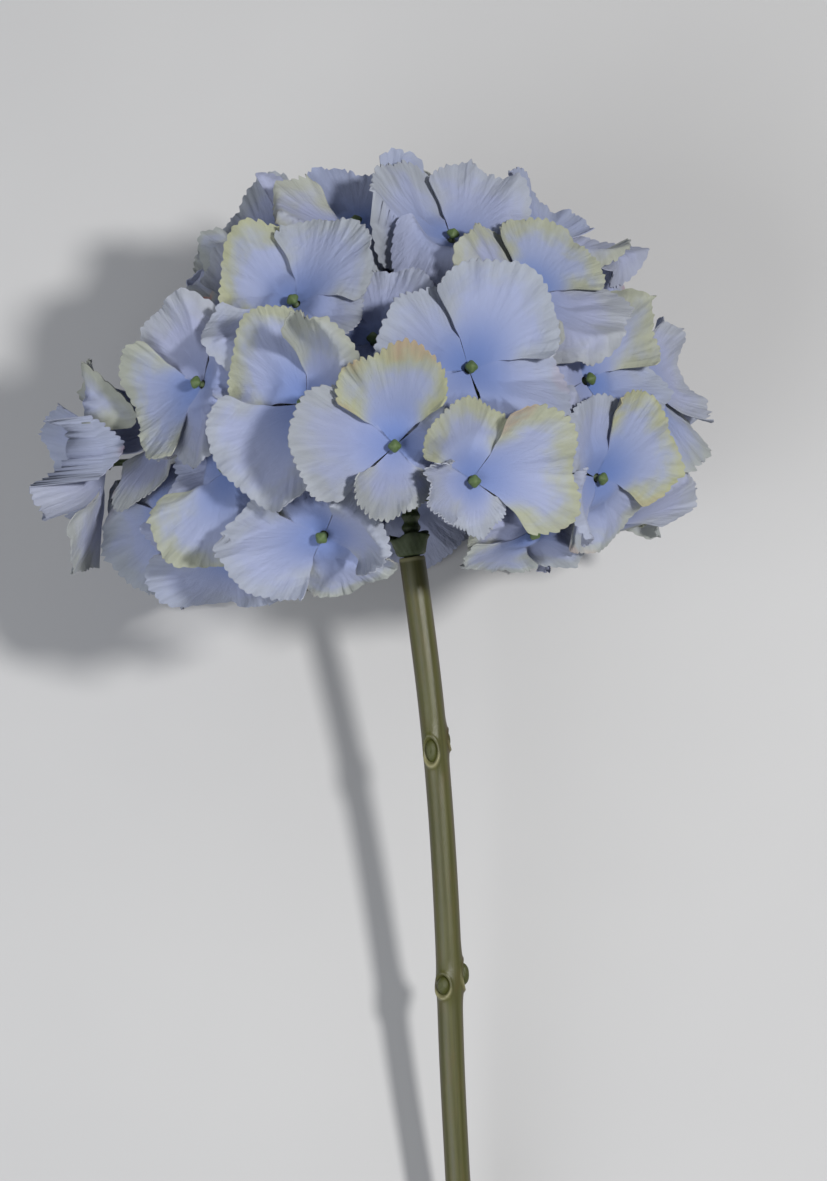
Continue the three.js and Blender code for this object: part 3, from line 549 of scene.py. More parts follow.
# %% The hubs' seats
BEAD_LENGTH, BEAD_RADIUS, BEAD_STAND = 3.4, 2.0, 3.2
HUB_FEELER = 5.0  # a hub is checked at this distance all round, and its bead at its own radius
feelers = turns_around(8)
for rank, floret in enumerate(florets):
    room = float(surface_radius(floret.direction, BEAD_LENGTH + 2)) - floret.dome
    floret.sink = max(-floret.lift, -room)
    reach = np.full(len(feelers), HUB_FEELER)
    around = directions_from(floret, reach, feelers)
    rise = free_rise(floret, floret.petals[0], reach, 0 * feelers, dome_radius(around))
    hub_excess = float((rise - ceiling_over(rank, around)).max())
    beside = directions_from(floret, np.full(len(feelers), BEAD_RADIUS), feelers)
    bead_rise = floret.dome - dome_radius(beside) + BEAD_STAND - floret.sink
    bead_excess = float((bead_rise - ceiling_over(rank, beside)).max())
    floret.sink += max(0.0, hub_excess, bead_excess)
print("hubs sink by up to", round(max(f.sink for f in florets), 1), "mm")

# %% [markdown]
# A petal is a grid: rows run from the pin's hole to the rim and columns fan out across it. Blender
# could cut the teeth with a displaced outline, but a grid lets each tooth be three columns, pinked
# every 2.1 mm as the cutting die does it. Rows lie closer towards the rim, where the cloth bends most.

# %% Rows, columns and teeth
TOOTH_PITCH, TOOTH_DEPTH = 2.1, 0.75
HUB_ROWS = (HOLE_RADIUS, 3.3, 5.5)
BLADE_ROWS = (0, 0.1, 0.2, 0.3, 0.4, 0.5, 0.59, 0.67, 0.74, 0.8, 0.86, 0.91, 0.95, 0.98, 1)
BACK_ROWS = (0, 0.14, 0.28, 0.42, 0.55, 0.67, 0.78, 0.87, 0.94, 0.98, 1)  # for florets at the back
TEETH = round(2 * 1.12 * SECTOR * PETAL_LENGTH / TOOTH_PITCH)
COLUMNS = 3 * TEETH + 1
across_columns = np.linspace(-1, 1, COLUMNS)
print("a petal has", TEETH, "teeth and", COLUMNS, "columns")

# %% [markdown]
# A heated mould presses creases in that start past the middle and fan out to the rim, some deep and
# some faint. Then each petal is curled over a warm iron by its own amount, and its rim ruffles. All of
# it is relief, a height over the plain sheet, drawn with a seed so that every run gives the same cloth.

# %% Creases, curl and ruffle
CREASE_DEPTH, CREASE_CYCLES = 0.55, (4.3, 6.1, 8.2, 10.7)
CREASE_START = 0.58  # creases begin about here, as a share of the way from hub to rim
MOST_CURL = 7.5
RUFFLE, RUFFLE_CYCLES, FINE_RUFFLE_CYCLES = (0.7, 1.9), 1.3, 3.1
creases = np.random.default_rng(7)


def petal_grid(petal, shares):
    tooth = np.array([-0.5, 0.3, 0.5])[np.arange(COLUMNS) % 3]
    deep = np.repeat(creases.uniform(0.25, 1.3, TEETH + 1), 3)[:COLUMNS]
    teeth = TOOTH_DEPTH * tooth * deep + 0.4 * np.sin(9 * across_columns + petal.phase)
    phases = creases.uniform(0, 2 * math.pi, 9)
    curl = MOST_CURL * creases.uniform(0, 1) ** 1.5 - 0.4
    ruffle = creases.uniform(*RUFFLE)
    bent = across_columns + 0.07 * np.sin(4 * across_columns + phases[0])
    fold = sum(np.sin(2 * math.pi * cycles * bent + phase)
               for cycles, phase in zip(CREASE_CYCLES, phases[1:]))
    fold = np.abs(fold) * CREASE_DEPTH * (0.65 + 0.35 * np.sin(5 * across_columns + phases[5]))
    begins = CREASE_START + 0.13 * np.sin(3.7 * across_columns + phases[6])
    begins += 0.06 * np.sin(11 * bent + phases[7])
    rows = []
    for reach in HUB_ROWS:
        rows.append((np.full(COLUMNS, float(reach)), across_columns * SECTOR, np.zeros(COLUMNS)))
    for share in shares:
        full = rim_reach(petal, across_columns) + teeth * smoothstep(share, 0.9, 1)
        reach = HUB_RADIUS + share * (full - HUB_RADIUS)
        relief = (fold - 0.25) * smoothstep(share, begins, 1.02)
        relief += ruffle * share ** 3 * (0.7 + np.sin(2 * math.pi * RUFFLE_CYCLES * bent + phases[8]))
        relief += 0.4 * share ** 3 * np.sin(2 * math.pi * FINE_RUFFLE_CYCLES * bent + phases[2])
        relief += curl * float(smoothstep(share, 0.45, 1.1)) ** 1.3 * (0.55 + 0.45 * across_columns ** 2)
        rows.append((reach, across_columns * half_width(petal, share), relief))
    reach, turn, relief = (np.array(part) for part in zip(*rows))
    return reach, turn, relief


print("creases start at", CREASE_START, "of the way to the rim")

# %% [markdown]
# Rows of points become faces by counting. Every piece of the flower becomes a mesh by the same two
# functions: one makes it and marks its sharp edges, the other gives it its material and ties it to
# the solid that it covers. Each corner can carry vectors that a material reads by name.

# %% From points to pieces
def grid_faces(rows, columns, start=0):
    corner = start + np.arange(rows - 1)[:, None] * columns + np.arange(columns - 1)
    a, b, c, d = (corner + step for step in (0, columns, columns + 1, 1))
    return np.concatenate([np.stack([a, b, c], -1).reshape(-1, 3), np.stack([a, c, d], -1).reshape(-1, 3)])


def make_mesh(name, points, faces, attributes=(), sharp=()):
    mesh = bpy.data.meshes.new(name)
    mesh.from_pydata([tuple(p) for p in np.asarray(points) * MM], [], [tuple(map(int, f)) for f in faces])
    for key, values in dict(attributes).items():
        layer = mesh.attributes.new(key, "FLOAT_VECTOR", "POINT")
        layer.data.foreach_set("vector", np.asarray(values, dtype=np.float32).ravel())
    mesh.polygons.foreach_set("use_smooth", [True] * len(mesh.polygons))
    if len(sharp):
        wanted = {tuple(sorted(map(int, edge))) for edge in sharp}
        flags = [tuple(sorted(edge.vertices)) in wanted for edge in mesh.edges]
        layer = mesh.attributes.new("sharp_edge", "BOOLEAN", "EDGE")
        layer.data.foreach_set("value", flags)
    piece = bpy.data.objects.new(name, mesh)
    bpy.context.scene.collection.objects.link(piece)
    return piece


def dress(piece, node, material):
    piece.data.materials.append(material)
    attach(piece, "root")
    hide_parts(node)


print("a grid of 3 by 3 corners has", len(grid_faces(3, 3)), "triangles")

# %% [markdown]
# The cloth is 0.36 mm thick, stiffened and flocked. A Solidify modifier would do it, but the sheet's
# two faces take different dye and its cut edge stays sharp, so the sheet is doubled along its normals
# here. Edges that only one face uses are the cut edge, and walls close the cloth there.

# %% Thickness for the cloth
CLOTH = 0.36
REVERSE_MARK = 2  # added to a petal's tint on the back of its cloth


def boundary_edges(faces):
    edges = np.concatenate([faces[:, [0, 1]], faces[:, [1, 2]], faces[:, [2, 0]]])
    count = faces.max() + 1
    there = edges[:, 0] * count + edges[:, 1]
    back = edges[:, 1] * count + edges[:, 0]
    return edges[~np.isin(there, back)]


def close_cloth(name, points, faces, place, look, tint):
    keys = np.round(points, 3)
    _, first, same = np.unique(keys, axis=0, return_index=True, return_inverse=True)
    faces = same.ravel()[faces]
    points, place, look, tint = points[first], place[first], look[first], tint[first]
    normals = np.zeros_like(points)
    normal = np.cross(points[faces[:, 1]] - points[faces[:, 0]], points[faces[:, 2]] - points[faces[:, 0]])
    for corner in range(3):
        np.add.at(normals, faces[:, corner], normal)
    normals = unit(normals)
    if (normals * (points - HEAD_MIDDLE)).sum() < 0:
        normals, faces = -normals, faces[:, ::-1]
    count = len(points)
    front, back = points + normals * CLOTH / 2, points - normals * CLOTH / 2
    front[:, 2] = np.maximum(front[:, 2], 0.0)
    rim = boundary_edges(faces)
    walls = np.concatenate([np.stack([rim[:, 1], rim[:, 0], rim[:, 0] + count], -1),
                            np.stack([rim[:, 1], rim[:, 0] + count, rim[:, 1] + count], -1)])
    closed = np.concatenate([faces, faces[:, ::-1] + count, walls])
    marks = {"petal_place": np.concatenate([place, place]), "petal_look": np.concatenate([look, look]),
             "petal_dye": np.concatenate([tint, tint + (0, 0, REVERSE_MARK)])}
    return make_mesh(name, np.concatenate([front, back]), closed, marks, np.concatenate([rim, rim + count]))


print("the cloth is", CLOTH, "mm thick")

# %% [markdown]
# Each corner of a petal's grid is laid in its place: outwards from the head's middle, by the dome and
# the height of the sheet there. Its relief may rise only a little into the gap under the sheet above,
# and never into the table.

# %% Lay a petal
ROOF_SLACK, TABLE_GAP = 0.35, 0.02


def lay_petal(rank, k, reach, turn):
    floret = florets[rank]
    directions = directions_from(floret, reach, turn)
    dome = dome_radius(directions)
    ceiling = ceiling_over(rank, directions)
    seen_reach, seen_turn = seen_from(floret, directions)
    heights, pair_ceiling = tucked_rises(floret, seen_reach, seen_turn, dome, ceiling)
    roof = ceiling if floret.petals[k].upper else np.minimum(ceiling, pair_ceiling)
    table = surface_radius(directions, CLOTH / 2 + TABLE_GAP) - dome
    return directions, dome, heights[k], np.minimum(roof + ROOF_SLACK, table)


_, _, hub_height, _ = lay_petal(0, 0, np.zeros(1), np.zeros(1))
print("the first floret's hub sits", round(float(hub_height[0]), 1), "mm over the dome")

# %% [markdown]
# A petal is laid twice: once flat, to find how far its rim can curl up, and again with that rim drawn
# in, because cloth that curls doesn't get longer. Next to each corner the mesh stores what the dye
# needs to know: its place on the petal, how far it is from the cut edge, and which face of the cloth
# it is on.

# %% Four petals as one floret
DEEPEST_DIP = 0.5  # relief may sink this far towards the sheet below
EASY_CURL, CURL_IN = 0.6, 0.45  # a curl past the first draws the rim in by the second for each mm
FLORET_SHIFT, PETAL_SHIFT = 61.7, 13.3  # move the dye's patterns, so that no two petals are alike


def floret_piece(rank, dye):
    floret = florets[rank]
    points, faces, place, look, tint = [], [], [], [], []
    shares = BLADE_ROWS if rank < len(FRONT_FLORETS) else BACK_ROWS
    for k, petal in enumerate(floret.petals):
        reach, turn, relief = petal_grid(petal, shares)
        rows = len(reach)
        across = np.broadcast_to(across_columns, reach.shape)
        flat_reach, flat_turn = reach.ravel(), (petal.axis + turn).ravel()
        relief = np.maximum(relief.ravel(), -DEEPEST_DIP)
        _, _, rise, roof = lay_petal(rank, k, flat_reach, flat_turn)
        curled = np.clip(np.minimum(relief, roof - rise) - EASY_CURL, 0, None)
        directions, dome, lower_rise, roof = lay_petal(rank, k, flat_reach - CURL_IN * curled, flat_turn)
        height = np.minimum(np.maximum(rise, lower_rise) + relief, roof)
        faces.append(grid_faces(rows, COLUMNS, len(points) * rows * COLUMNS))
        points.append(directions * (dome + height)[:, None] + HEAD_MIDDLE)
        full = rim_reach(petal, across)
        margin = np.minimum(full - reach, (1 - np.abs(across)) * reach)
        shift = np.full(reach.shape, FLORET_SHIFT * rank + PETAL_SHIFT * k)
        place.append(np.stack([turn * reach, reach, shift], -1).reshape(-1, 3))
        look.append(np.stack([reach / full, margin, across], -1).reshape(-1, 3))
        tint.append(np.tile(dye[k], (reach.size, 1)))
    points, faces, place, look, tint = (np.concatenate(part) for part in (points, faces, place, look, tint))
    return close_cloth(f"cloth_{rank + 1:02d}", points, faces, place, look, tint)


print("a petal in front is laid in", len(HUB_ROWS) + len(BLADE_ROWS), "rows, one at the back in",
      len(HUB_ROWS) + len(BACK_ROWS))

# %% [markdown]
# The dye was sprayed on by hand. Most petals have a yellow-green rim, some hardly any, and here and
# there a corner is touched with coral. Those that show plainly are set one by one, the others by a draw.
# The third number shifts a petal between a cool blue and a greyer lavender.

# %% Dye for every petal
dye_draw = np.random.default_rng(11)
green = dye_draw.beta(1.2, 1.9, (FLORET_COUNT, 4))
coral = np.clip(dye_draw.uniform(-2, 0.5, (FLORET_COUNT, 4)), 0, 1)
tints = dye_draw.uniform(0, 1, (FLORET_COUNT, 4))
dyes = np.stack([green, coral, tints], -1)
DYED_BY_EYE = {
    (0, 0): (0.85, 0.25, 0.4), (0, 1): (0.9, 0, 0.3), (0, 2): (0.3, 0, 0.6), (0, 3): (0.35, 0, 0.5),
    (1, 0): (1.0, 0.3, 0.2), (1, 1): (0.4, 0.2, 0.5), (1, 2): (0.5, 0, 0.7), (1, 3): (0.3, 0, 0.4),
    (2, 0): (0.35, 0, 0.2), (2, 1): (0.3, 0, 0.2), (2, 2): (0.2, 0, 0.5), (2, 3): (0.2, 0.1, 0.3),
    (3, 0): (0.7, 0, 0.4), (3, 1): (0.85, 0, 0.3), (3, 2): (0.35, 0, 0.5), (3, 3): (0.4, 0.3, 0.3),
    (4, 0): (1.0, 0.1, 0.1), (4, 1): (0.3, 0, 0.3), (4, 2): (0.2, 0, 0.5), (4, 3): (0.6, 0.2, 0.3),
    (5, 0): (0.4, 0, 0.3), (5, 1): (0.95, 0.1, 0.3), (5, 2): (0.3, 0, 0.5), (5, 3): (0.3, 0, 0.4),
    (6, 0): (0.3, 0, 0.5), (6, 1): (0.9, 0.3, 0.3), (6, 2): (0.3, 0, 0.4), (6, 3): (0.6, 0.1, 0.4),
    (8, 1): (0.1, 0, 1.0), (8, 2): (0.2, 0, 0.9), (9, 1): (0.1, 0, 0.5), (14, 1): (0.6, 0.9, 0.3),
}
for (rank, petal_number), dye in DYED_BY_EYE.items():
    dyes[rank, petal_number] = dye
print(len(DYED_BY_EYE), "petals dyed by eye")

# %% [markdown]
# The petals are polyester satin, stiffened and flocked, so they are matt with a faint sheen at a
# grazing angle. Dyed cloth has an IOR of about 1.5 but hardly any clear highlight. Its colour runs
# from a deeper periwinkle at the hub to lavender-blue, with a yellow-green rim that bleeds inwards
# unevenly for some 7 mm, and coral in a few short patches of the rim. Fine creases fan out towards
# the rim, with painted shade in their valleys and painted light on their ridges. A thread is about
# 0.25 mm wide, which is too fine for the picture, so the weave is drawn at 0.8 mm.

# %% Dyed petal cloth
petal_cloth, tree, shader = new_material("dyed_stiffened_polyester", {
    "Roughness": 0.78, "Specular IOR Level": 0.22,
    "Sheen Weight": 0.22, "Sheen Roughness": 0.45, "Sheen Tint": "#c9cfe6",
})


def read_attribute(tree, name):
    values = add_node(tree, "Attribute", {"attribute_name": name}).node.outputs["Vector"]
    return add_node(tree, "SeparateXYZ", inputs={"Vector": values}).node.outputs


def petal_noise(tree, x, x_scale, y, y_scale, z, detail):
    wide = add_node(tree, "Math", MULTIPLY, {0: x, 1: x_scale})
    long = add_node(tree, "Math", MULTIPLY, {0: y, 1: y_scale})
    vector = add_node(tree, "CombineXYZ", inputs={"X": wide, "Y": long, "Z": z})
    return add_node(tree, "TexNoise", inputs={"Vector": vector, "Scale": 1.0, "Detail": detail})


place_x, place_y, place_z = read_attribute(tree, "petal_place")
share, margin, across = read_attribute(tree, "petal_look")
green, coral, tint = read_attribute(tree, "petal_dye")
crease_height = petal_noise(tree, across, 13.0, place_y, 0.09, place_z, 2.0)
blotches = petal_noise(tree, place_x, 0.16, place_y, 0.16, place_z, 4.0)
patches = petal_noise(tree, across, 1.7, place_z, 1.0, place_z, 1.0)
crinkles = petal_noise(tree, place_x, 0.42, place_y, 0.2, place_z, 3.0)
print("four patterns are laid out on the cloth")

# %% [markdown]
# The dye is built up in the order in which it was sprayed: the blue ground, a shift to lavender on
# some petals and on the cloth's back, then the yellow-green that bleeds in from the rim, and last the
# coral. Each is a mask times a colour, so that one can be changed without touching the others. Over
# it all, towards the rim, lies painted shade in the creases' valleys and painted light on their ridges.

# %% The dye's colours
reverse = add_node(tree, "Math", {"operation": "GREATER_THAN"}, {0: tint, 1: 1.5})
lavender = add_node(tree, "Math", MULTIPLY_ADD, {0: reverse, 1: -REVERSE_MARK, 2: tint})
outwards = add_node(tree, "MapRange", SMOOTH, {"Value": share, "From Min": 0.1, "From Max": 0.78})
color = add_node(tree, "Mix", COLORS, {"Factor": outwards, "A": "#5f78b3", "B": "#949dbc"})
for mask, code in ((lavender, "#a3a6c0"), (reverse, "#abafc6")):
    weight = add_node(tree, "Math", MULTIPLY, {0: mask, 1: 0.55})
    color = add_node(tree, "Mix", COLORS, {"Factor": weight, "A": color, "B": code})
uneven = add_node(tree, "Math", SUBTRACT, {0: blotches, 1: 0.5})
bleed = add_node(tree, "Math", MULTIPLY_ADD, {0: uneven, 1: 13.0, 2: margin})
rim = add_node(tree, "MapRange", SMOOTH,
               {"Value": bleed, "From Min": 0.0, "From Max": 8.5, "To Min": 1.0, "To Max": 0.0})
outer = add_node(tree, "MapRange", SMOOTH, {"Value": share, "From Min": 0.45, "From Max": 0.75})
for mask in (rim, outer, 0.92):
    green = add_node(tree, "Math", MULTIPLY, {0: green, 1: mask})
yellow_green = add_node(tree, "Mix", COLORS, {"Factor": blotches, "A": "#96986f", "B": "#b0b28f"})
color = add_node(tree, "Mix", COLORS, {"Factor": green, "A": color, "B": yellow_green})
edge = add_node(tree, "MapRange", SMOOTH,
                {"Value": bleed, "From Min": -1.0, "From Max": 3.0, "To Min": 1.0, "To Max": 0.0})
patch = add_node(tree, "MapRange", SMOOTH, {"Value": patches, "From Min": 0.53, "From Max": 0.64})
tip = add_node(tree, "MapRange", SMOOTH, {"Value": share, "From Min": 0.65, "From Max": 0.85})
for mask in (edge, patch, tip):
    coral = add_node(tree, "Math", MULTIPLY, {0: coral, 1: mask})
color = add_node(tree, "Mix", COLORS, {"Factor": coral, "A": color, "B": "#c07f78"})
# Painted shade and painted light: towards the rim the colour darkens in the creases' valleys and brightens on
# their ridges.
crease_shade_scale = add_node(tree, "MapRange", SMOOTH,
                 {"Value": crease_height, "From Min": 0.3, "From Max": 0.7, "To Min": 0.92, "To Max": 1.05})
near_rim = add_node(tree, "MapRange", SMOOTH, {"Value": share, "From Min": 0.45, "From Max": 0.95})
painted_crease_shade = add_node(tree, "Mix", {"data_type": "FLOAT"}, {"Factor": near_rim, "A": 1.0, "B": crease_shade_scale})
color = add_node(tree, "VectorMath", {"operation": "SCALE"}, {"Vector": color, "Scale": painted_crease_shade})
print("the dye takes", len(tree.nodes), "nodes")

# %% [markdown]
# The mesh has the creases that can be seen from a metre away. Finer creases and the weave are a bump,
# because real faces for them would run into millions and look the same.

# %% The cloth's fine relief
weave = add_node(tree, "TexNoise", inputs={"Scale": 1250.0, "Detail": 2.0})
relief = add_node(tree, "Math", MULTIPLY, {0: weave, 1: 0.12})
creased = add_node(tree, "MapRange", SMOOTH,
                   {"Value": share, "From Min": 0.4, "From Max": 0.95, "To Min": 0.15, "To Max": 1.0})
crinkled = add_node(tree, "MapRange", SMOOTH,
                    {"Value": share, "From Min": 0.25, "From Max": 0.8, "To Min": 0.25, "To Max": 0.8})
for height, amount in ((crease_height, creased), (crinkles, crinkled)):
    relief = add_node(tree, "Math", MULTIPLY_ADD, {0: height, 1: amount, 2: relief})
bump = add_node(tree, "Bump", inputs={"Strength": 0.8, "Distance": 0.0009, "Height": relief})
fill_inputs(tree, shader, {"Base Color": color, "Normal": bump})
print("with its relief the cloth takes", len(tree.nodes), "nodes")

# %% [markdown]
# Each floret is one piece of cloth with four petals. It covers its own solid and rides with it.

# %% Dress the florets
for rank in range(FLORET_COUNT):
    cloth = floret_piece(rank, dyes[rank])
    dress(cloth, f"floret_{rank + 1:02d}", petal_cloth)
    if rank in (0, FLORET_COUNT - 1):
        print(cloth.name, "has", len(cloth.data.polygons), "triangles")

# %% [markdown]
# The stem's centreline passes through the same points as the solid's. It is a centripetal spline,
# which keeps a hand-drawn route free of loops. Arc length is tabled once, so that anything on the
# stem can be placed by its distance below the top.

# %% The stem's route
SPAN_STEPS = 200
STEM_BENDS = ((5, -50), (9, -82), (12, -115), (14.5, -157), (16, -200), (19, -260))
knots = np.array([heading(r, a, 0) + HEAD_MIDDLE for r, a in (STEM_TOP, *STEM_BENDS, STEM_END)])
padded = np.vstack([2 * knots[0] - knots[1], knots, 2 * knots[-1] - knots[-2]])


def spline_span(p0, p1, p2, p3, t):
    d0, d1, d2 = (np.linalg.norm(b - a) ** 0.5 for a, b in ((p0, p1), (p1, p2), (p2, p3)))
    leave = ((p1 - p0) / d0 - (p2 - p0) / (d0 + d1) + (p2 - p1) / d1) * d1
    reach_in = ((p2 - p1) / d1 - (p3 - p1) / (d1 + d2) + (p3 - p2) / d2) * d1
    t = t[:, None]
    return (p1 + leave * t + (-3 * p1 + 3 * p2 - 2 * leave - reach_in) * t ** 2
            + (2 * p1 - 2 * p2 + leave + reach_in) * t ** 3)


last_span = len(knots) - 2
spans = [spline_span(*padded[i:i + 4], np.linspace(0, 1, SPAN_STEPS, endpoint=i == last_span))
         for i in range(last_span + 1)]
route = np.concatenate(spans)
route_length = np.concatenate([[0], np.cumsum(np.linalg.norm(np.diff(route, axis=0), axis=1))])
STEM_REACH = route_length[-1]
print("the stem is", round(STEM_REACH, 1), "mm long")


def stem_point(below):
    return np.stack([np.interp(below, route_length, route[:, i]) for i in range(3)], -1)


def stem_frame(below):
    below = np.asarray(below)
    along = unit(stem_point(below + 1.0) - stem_point(below - 1.0))
    front = unit(FRONT - along * (along @ FRONT)[..., None])
    return along, front, np.cross(front, along)

# %% [markdown]
# The stem is injection-moulded polyethylene. Leaves would plug into it, so it has oval sockets in
# pairs. Its tube is built of rings, with close rows only where the sockets and the ends need them.

# %% Rings along the stem
BUDS = {  # below the top, turn, half length, half width, half height, seat under the stem's surface
    "bud_upper_front": (63, -22, 3.7, 1.9, 1.5, 0.6), "bud_upper_side": (60, 98, 2.6, 1.5, 1.6, 0.6),
    "bud_middle_front": (139, -32, 3, 2.1, 2, 0.6), "bud_middle_side": (136, 100, 3.8, 2.2, 2.5, 0.1),
    "bud_lower_front": (214, -27, 3.4, 2, 1.7, 0.6), "bud_lower_side": (211, 99, 3.2, 1.9, 2.1, 0.3),
}
STEM_SIDES = 96
stem_turns = turns_around(STEM_SIDES)
bud_places = [below for below, *_ in BUDS.values()]
coarse = np.arange(0, STEM_REACH, 2.5)
fine = np.concatenate([np.arange(below - 8, below + 8, 0.45) for below in bud_places])
ends = [0, 0.25, 0.6, 1.0, 1.6, STEM_REACH - 0.4, STEM_REACH]
stem_rows = np.unique(np.round(np.concatenate([ends, coarse, fine]), 2))
stem_rows = stem_rows[np.concatenate([[True], np.diff(stem_rows) > 0.2])]
stem_rows[-1] = STEM_REACH
print("the stem is built of", len(stem_rows), "rings of", STEM_SIDES)

# %% [markdown]
# Each socket is a shallow pocket with a raised lip, thickest on its lower side, on a slight swelling.
# The same loop notes where the plastic is paler: on the lower side of the lips and at the top of the tube.

# %% The stem's surface and its sockets
STEM_RADIUS, POCKET_DEPTH = 4.25, 1.0
LIP, LIP_WIDTH, SWELLING = 1.36, 0.2, 2.1  # how far out they lie, as shares of the socket's oval
outer = STEM_RADIUS + (CUT_END_RADIUS - STEM_RADIUS) * stem_rows[:, None] / STEM_REACH + 0 * stem_turns
outer += 0.05 * np.sin(stem_rows[:, None] / 17) + 0.04 * np.sin(3 * stem_turns + stem_rows[:, None] / 31)
outer -= 0.3 * smoothstep(stem_rows, 0.6, 0.0)[:, None]
pale = 0.9 * smoothstep(stem_rows, 1.7, 0.5)[:, None] + np.zeros(STEM_SIDES)
for below, turn, half_length, half_across, *_ in BUDS.values():
    down = stem_rows[:, None] - below
    across = wrap(stem_turns - math.radians(turn)) * STEM_RADIUS
    oval = np.hypot(down / half_length, across / half_across)
    lip = np.exp(-((oval - LIP) / LIP_WIDTH) ** 2) * (0.35 + 0.35 * smoothstep(down, -2.0, 3.0))
    swell = 0.45 * np.exp(-(oval / SWELLING) ** 4)
    outer += lip + swell - POCKET_DEPTH * smoothstep(oval, 1.16, 0.98)
    pale = np.maximum(pale, 0.8 * np.exp(-((oval - 1.3) / 0.22) ** 2) * smoothstep(down, -0.5, 2.5))
print("the stem's radius runs from", round(outer.min(), 1), "to", round(outer.max(), 1), "mm")

# %% [markdown]
# The tube is one closed sheet that runs down the outside, round the cut end, up the bore and out of
# the socket at the top. Each corner keeps its place along and round the stem, because the streaks in
# the plastic follow the mould and not the bends.

# %% The stem as one closed tube
SOCKET_RADIUS, SOCKET_DEPTH, WIRE_RADIUS, CLEARANCE = 3.1, 16, 1.5, 0.35


def ring_points(below, radius, sides):
    _, front, side = stem_frame(below)
    turn = turns_around(sides)[:, None]
    out = np.cos(turn) * front[:, None] + np.sin(turn) * side[:, None]
    return stem_point(below)[:, None] + out * np.broadcast_to(radius, (len(below), sides))[..., None]


def ring_faces(rows, sides, closed=True):
    row, side = np.meshgrid(np.arange(rows if closed else rows - 1), np.arange(sides), indexing="ij")
    a, b = row * sides + side, row * sides + (side + 1) % sides
    c, d = (row + 1) % rows * sides + (side + 1) % sides, (row + 1) % rows * sides + side
    return np.concatenate([np.stack([a, b, c], -1).reshape(-1, 3), np.stack([a, c, d], -1).reshape(-1, 3)])


bore_rows = np.linspace(STEM_REACH, SOCKET_DEPTH, 24)
socket_rows = np.linspace(SOCKET_DEPTH, 0, 8)
rings = np.concatenate([ring_points(stem_rows, outer, STEM_SIDES),
                        ring_points(bore_rows, WIRE_RADIUS + CLEARANCE, STEM_SIDES),
                        ring_points(socket_rows, SOCKET_RADIUS, STEM_SIDES)])
row_places = np.concatenate([stem_rows, bore_rows, socket_rows])
paleness = np.concatenate([pale, np.full((len(bore_rows), STEM_SIDES), 0.1),
                           np.full((len(socket_rows), STEM_SIDES), 0.6)])


def around_stem(rows, turns, radius):
    across, forward = radius * np.sin(turns)[None, :], radius * np.cos(turns)[None, :]
    return np.stack(np.broadcast_arrays(across, rows[:, None], forward), -1).reshape(-1, 3)


stem_places = around_stem(row_places, stem_turns, STEM_RADIUS)
# The second number says how far round to the side a corner lies; the stem's colour takes painted shade there.
stem_looks = np.stack(np.broadcast_arrays(paleness, np.abs(np.sin(stem_turns)), 0.0), -1).reshape(-1, 3)
print("with bore and socket the tube has", len(row_places), "rings")

# %% [markdown]
# The rest of the flower is made of tubes and lenses: rings of points, closed with a fan of triangles
# at each end where the tube is not a loop. A piece whose faces look inwards has a negative volume, and
# is turned the right way out before it is dressed.

# %% Closed pieces from rings
def capped_faces(rows, sides):
    faces = [ring_faces(rows, sides, closed=False)]
    fan = np.arange(1, sides - 1)
    faces.append(np.stack([np.zeros_like(fan), fan + 1, fan], -1))
    last = (rows - 1) * sides
    faces.append(np.stack([np.full_like(fan, last), last + fan, last + fan + 1], -1))
    return np.concatenate(faces)


def outward(points, faces):
    a, b, c = (points[faces[:, i]] for i in range(3))
    volume = np.einsum("ij,ij->i", a, np.cross(b, c)).sum()
    return faces if volume > 0 else faces[:, ::-1]


def add_piece(name, points, faces, node, material, attributes=()):
    points = np.asarray(points).reshape(-1, 3)
    dress(make_mesh(name, points, outward(points, faces), attributes), node, material)
    print(name, "has", len(faces), "triangles")


print("a rod of two rings of 24 corners has", len(capped_faces(2, 24)), "triangles")

# %% [markdown]
# The plastic is olive green with a low satin shine: polyethylene has an IOR of 1.5, and a mould with
# a fine spark finish gives a roughness near 0.35. Long faint streaks are where the plastic flowed
# along the mould. It is paler and browner in a rim at the top and on the lower side of the sockets'
# lips. Painted shade makes it darker and browner along its two sides, left and right of its front.
# The spark finish is drawn as coarse as 1 mm.

# %% Moulded stem plastic
stem_plastic, tree, shader = new_material("satin_moulded_polyethylene",
                                          {"Roughness": 0.4, "Specular IOR Level": 0.45})


def stem_noise(tree, stretch, detail):
    place = add_node(tree, "Attribute", {"attribute_name": "stem_place"}).node.outputs["Vector"]
    scaled = add_node(tree, "VectorMath", MULTIPLY, {0: place, 1: stretch})
    return add_node(tree, "TexNoise", inputs={"Vector": scaled, "Scale": 1.0, "Detail": detail})


paleness, sideways, _ = read_attribute(tree, "stem_look")
flow = stem_noise(tree, (1.1, 0.03, 1.1), 5.0)
mottle = stem_noise(tree, (0.35, 0.12, 0.35), 4.0)
flowed = add_node(tree, "MapRange", SMOOTH, {"Value": flow, "From Min": 0.3, "From Max": 0.72})
mottled = add_node(tree, "MapRange", SMOOTH,
                   {"Value": mottle, "From Min": 0.45, "From Max": 0.75, "To Max": 0.45})
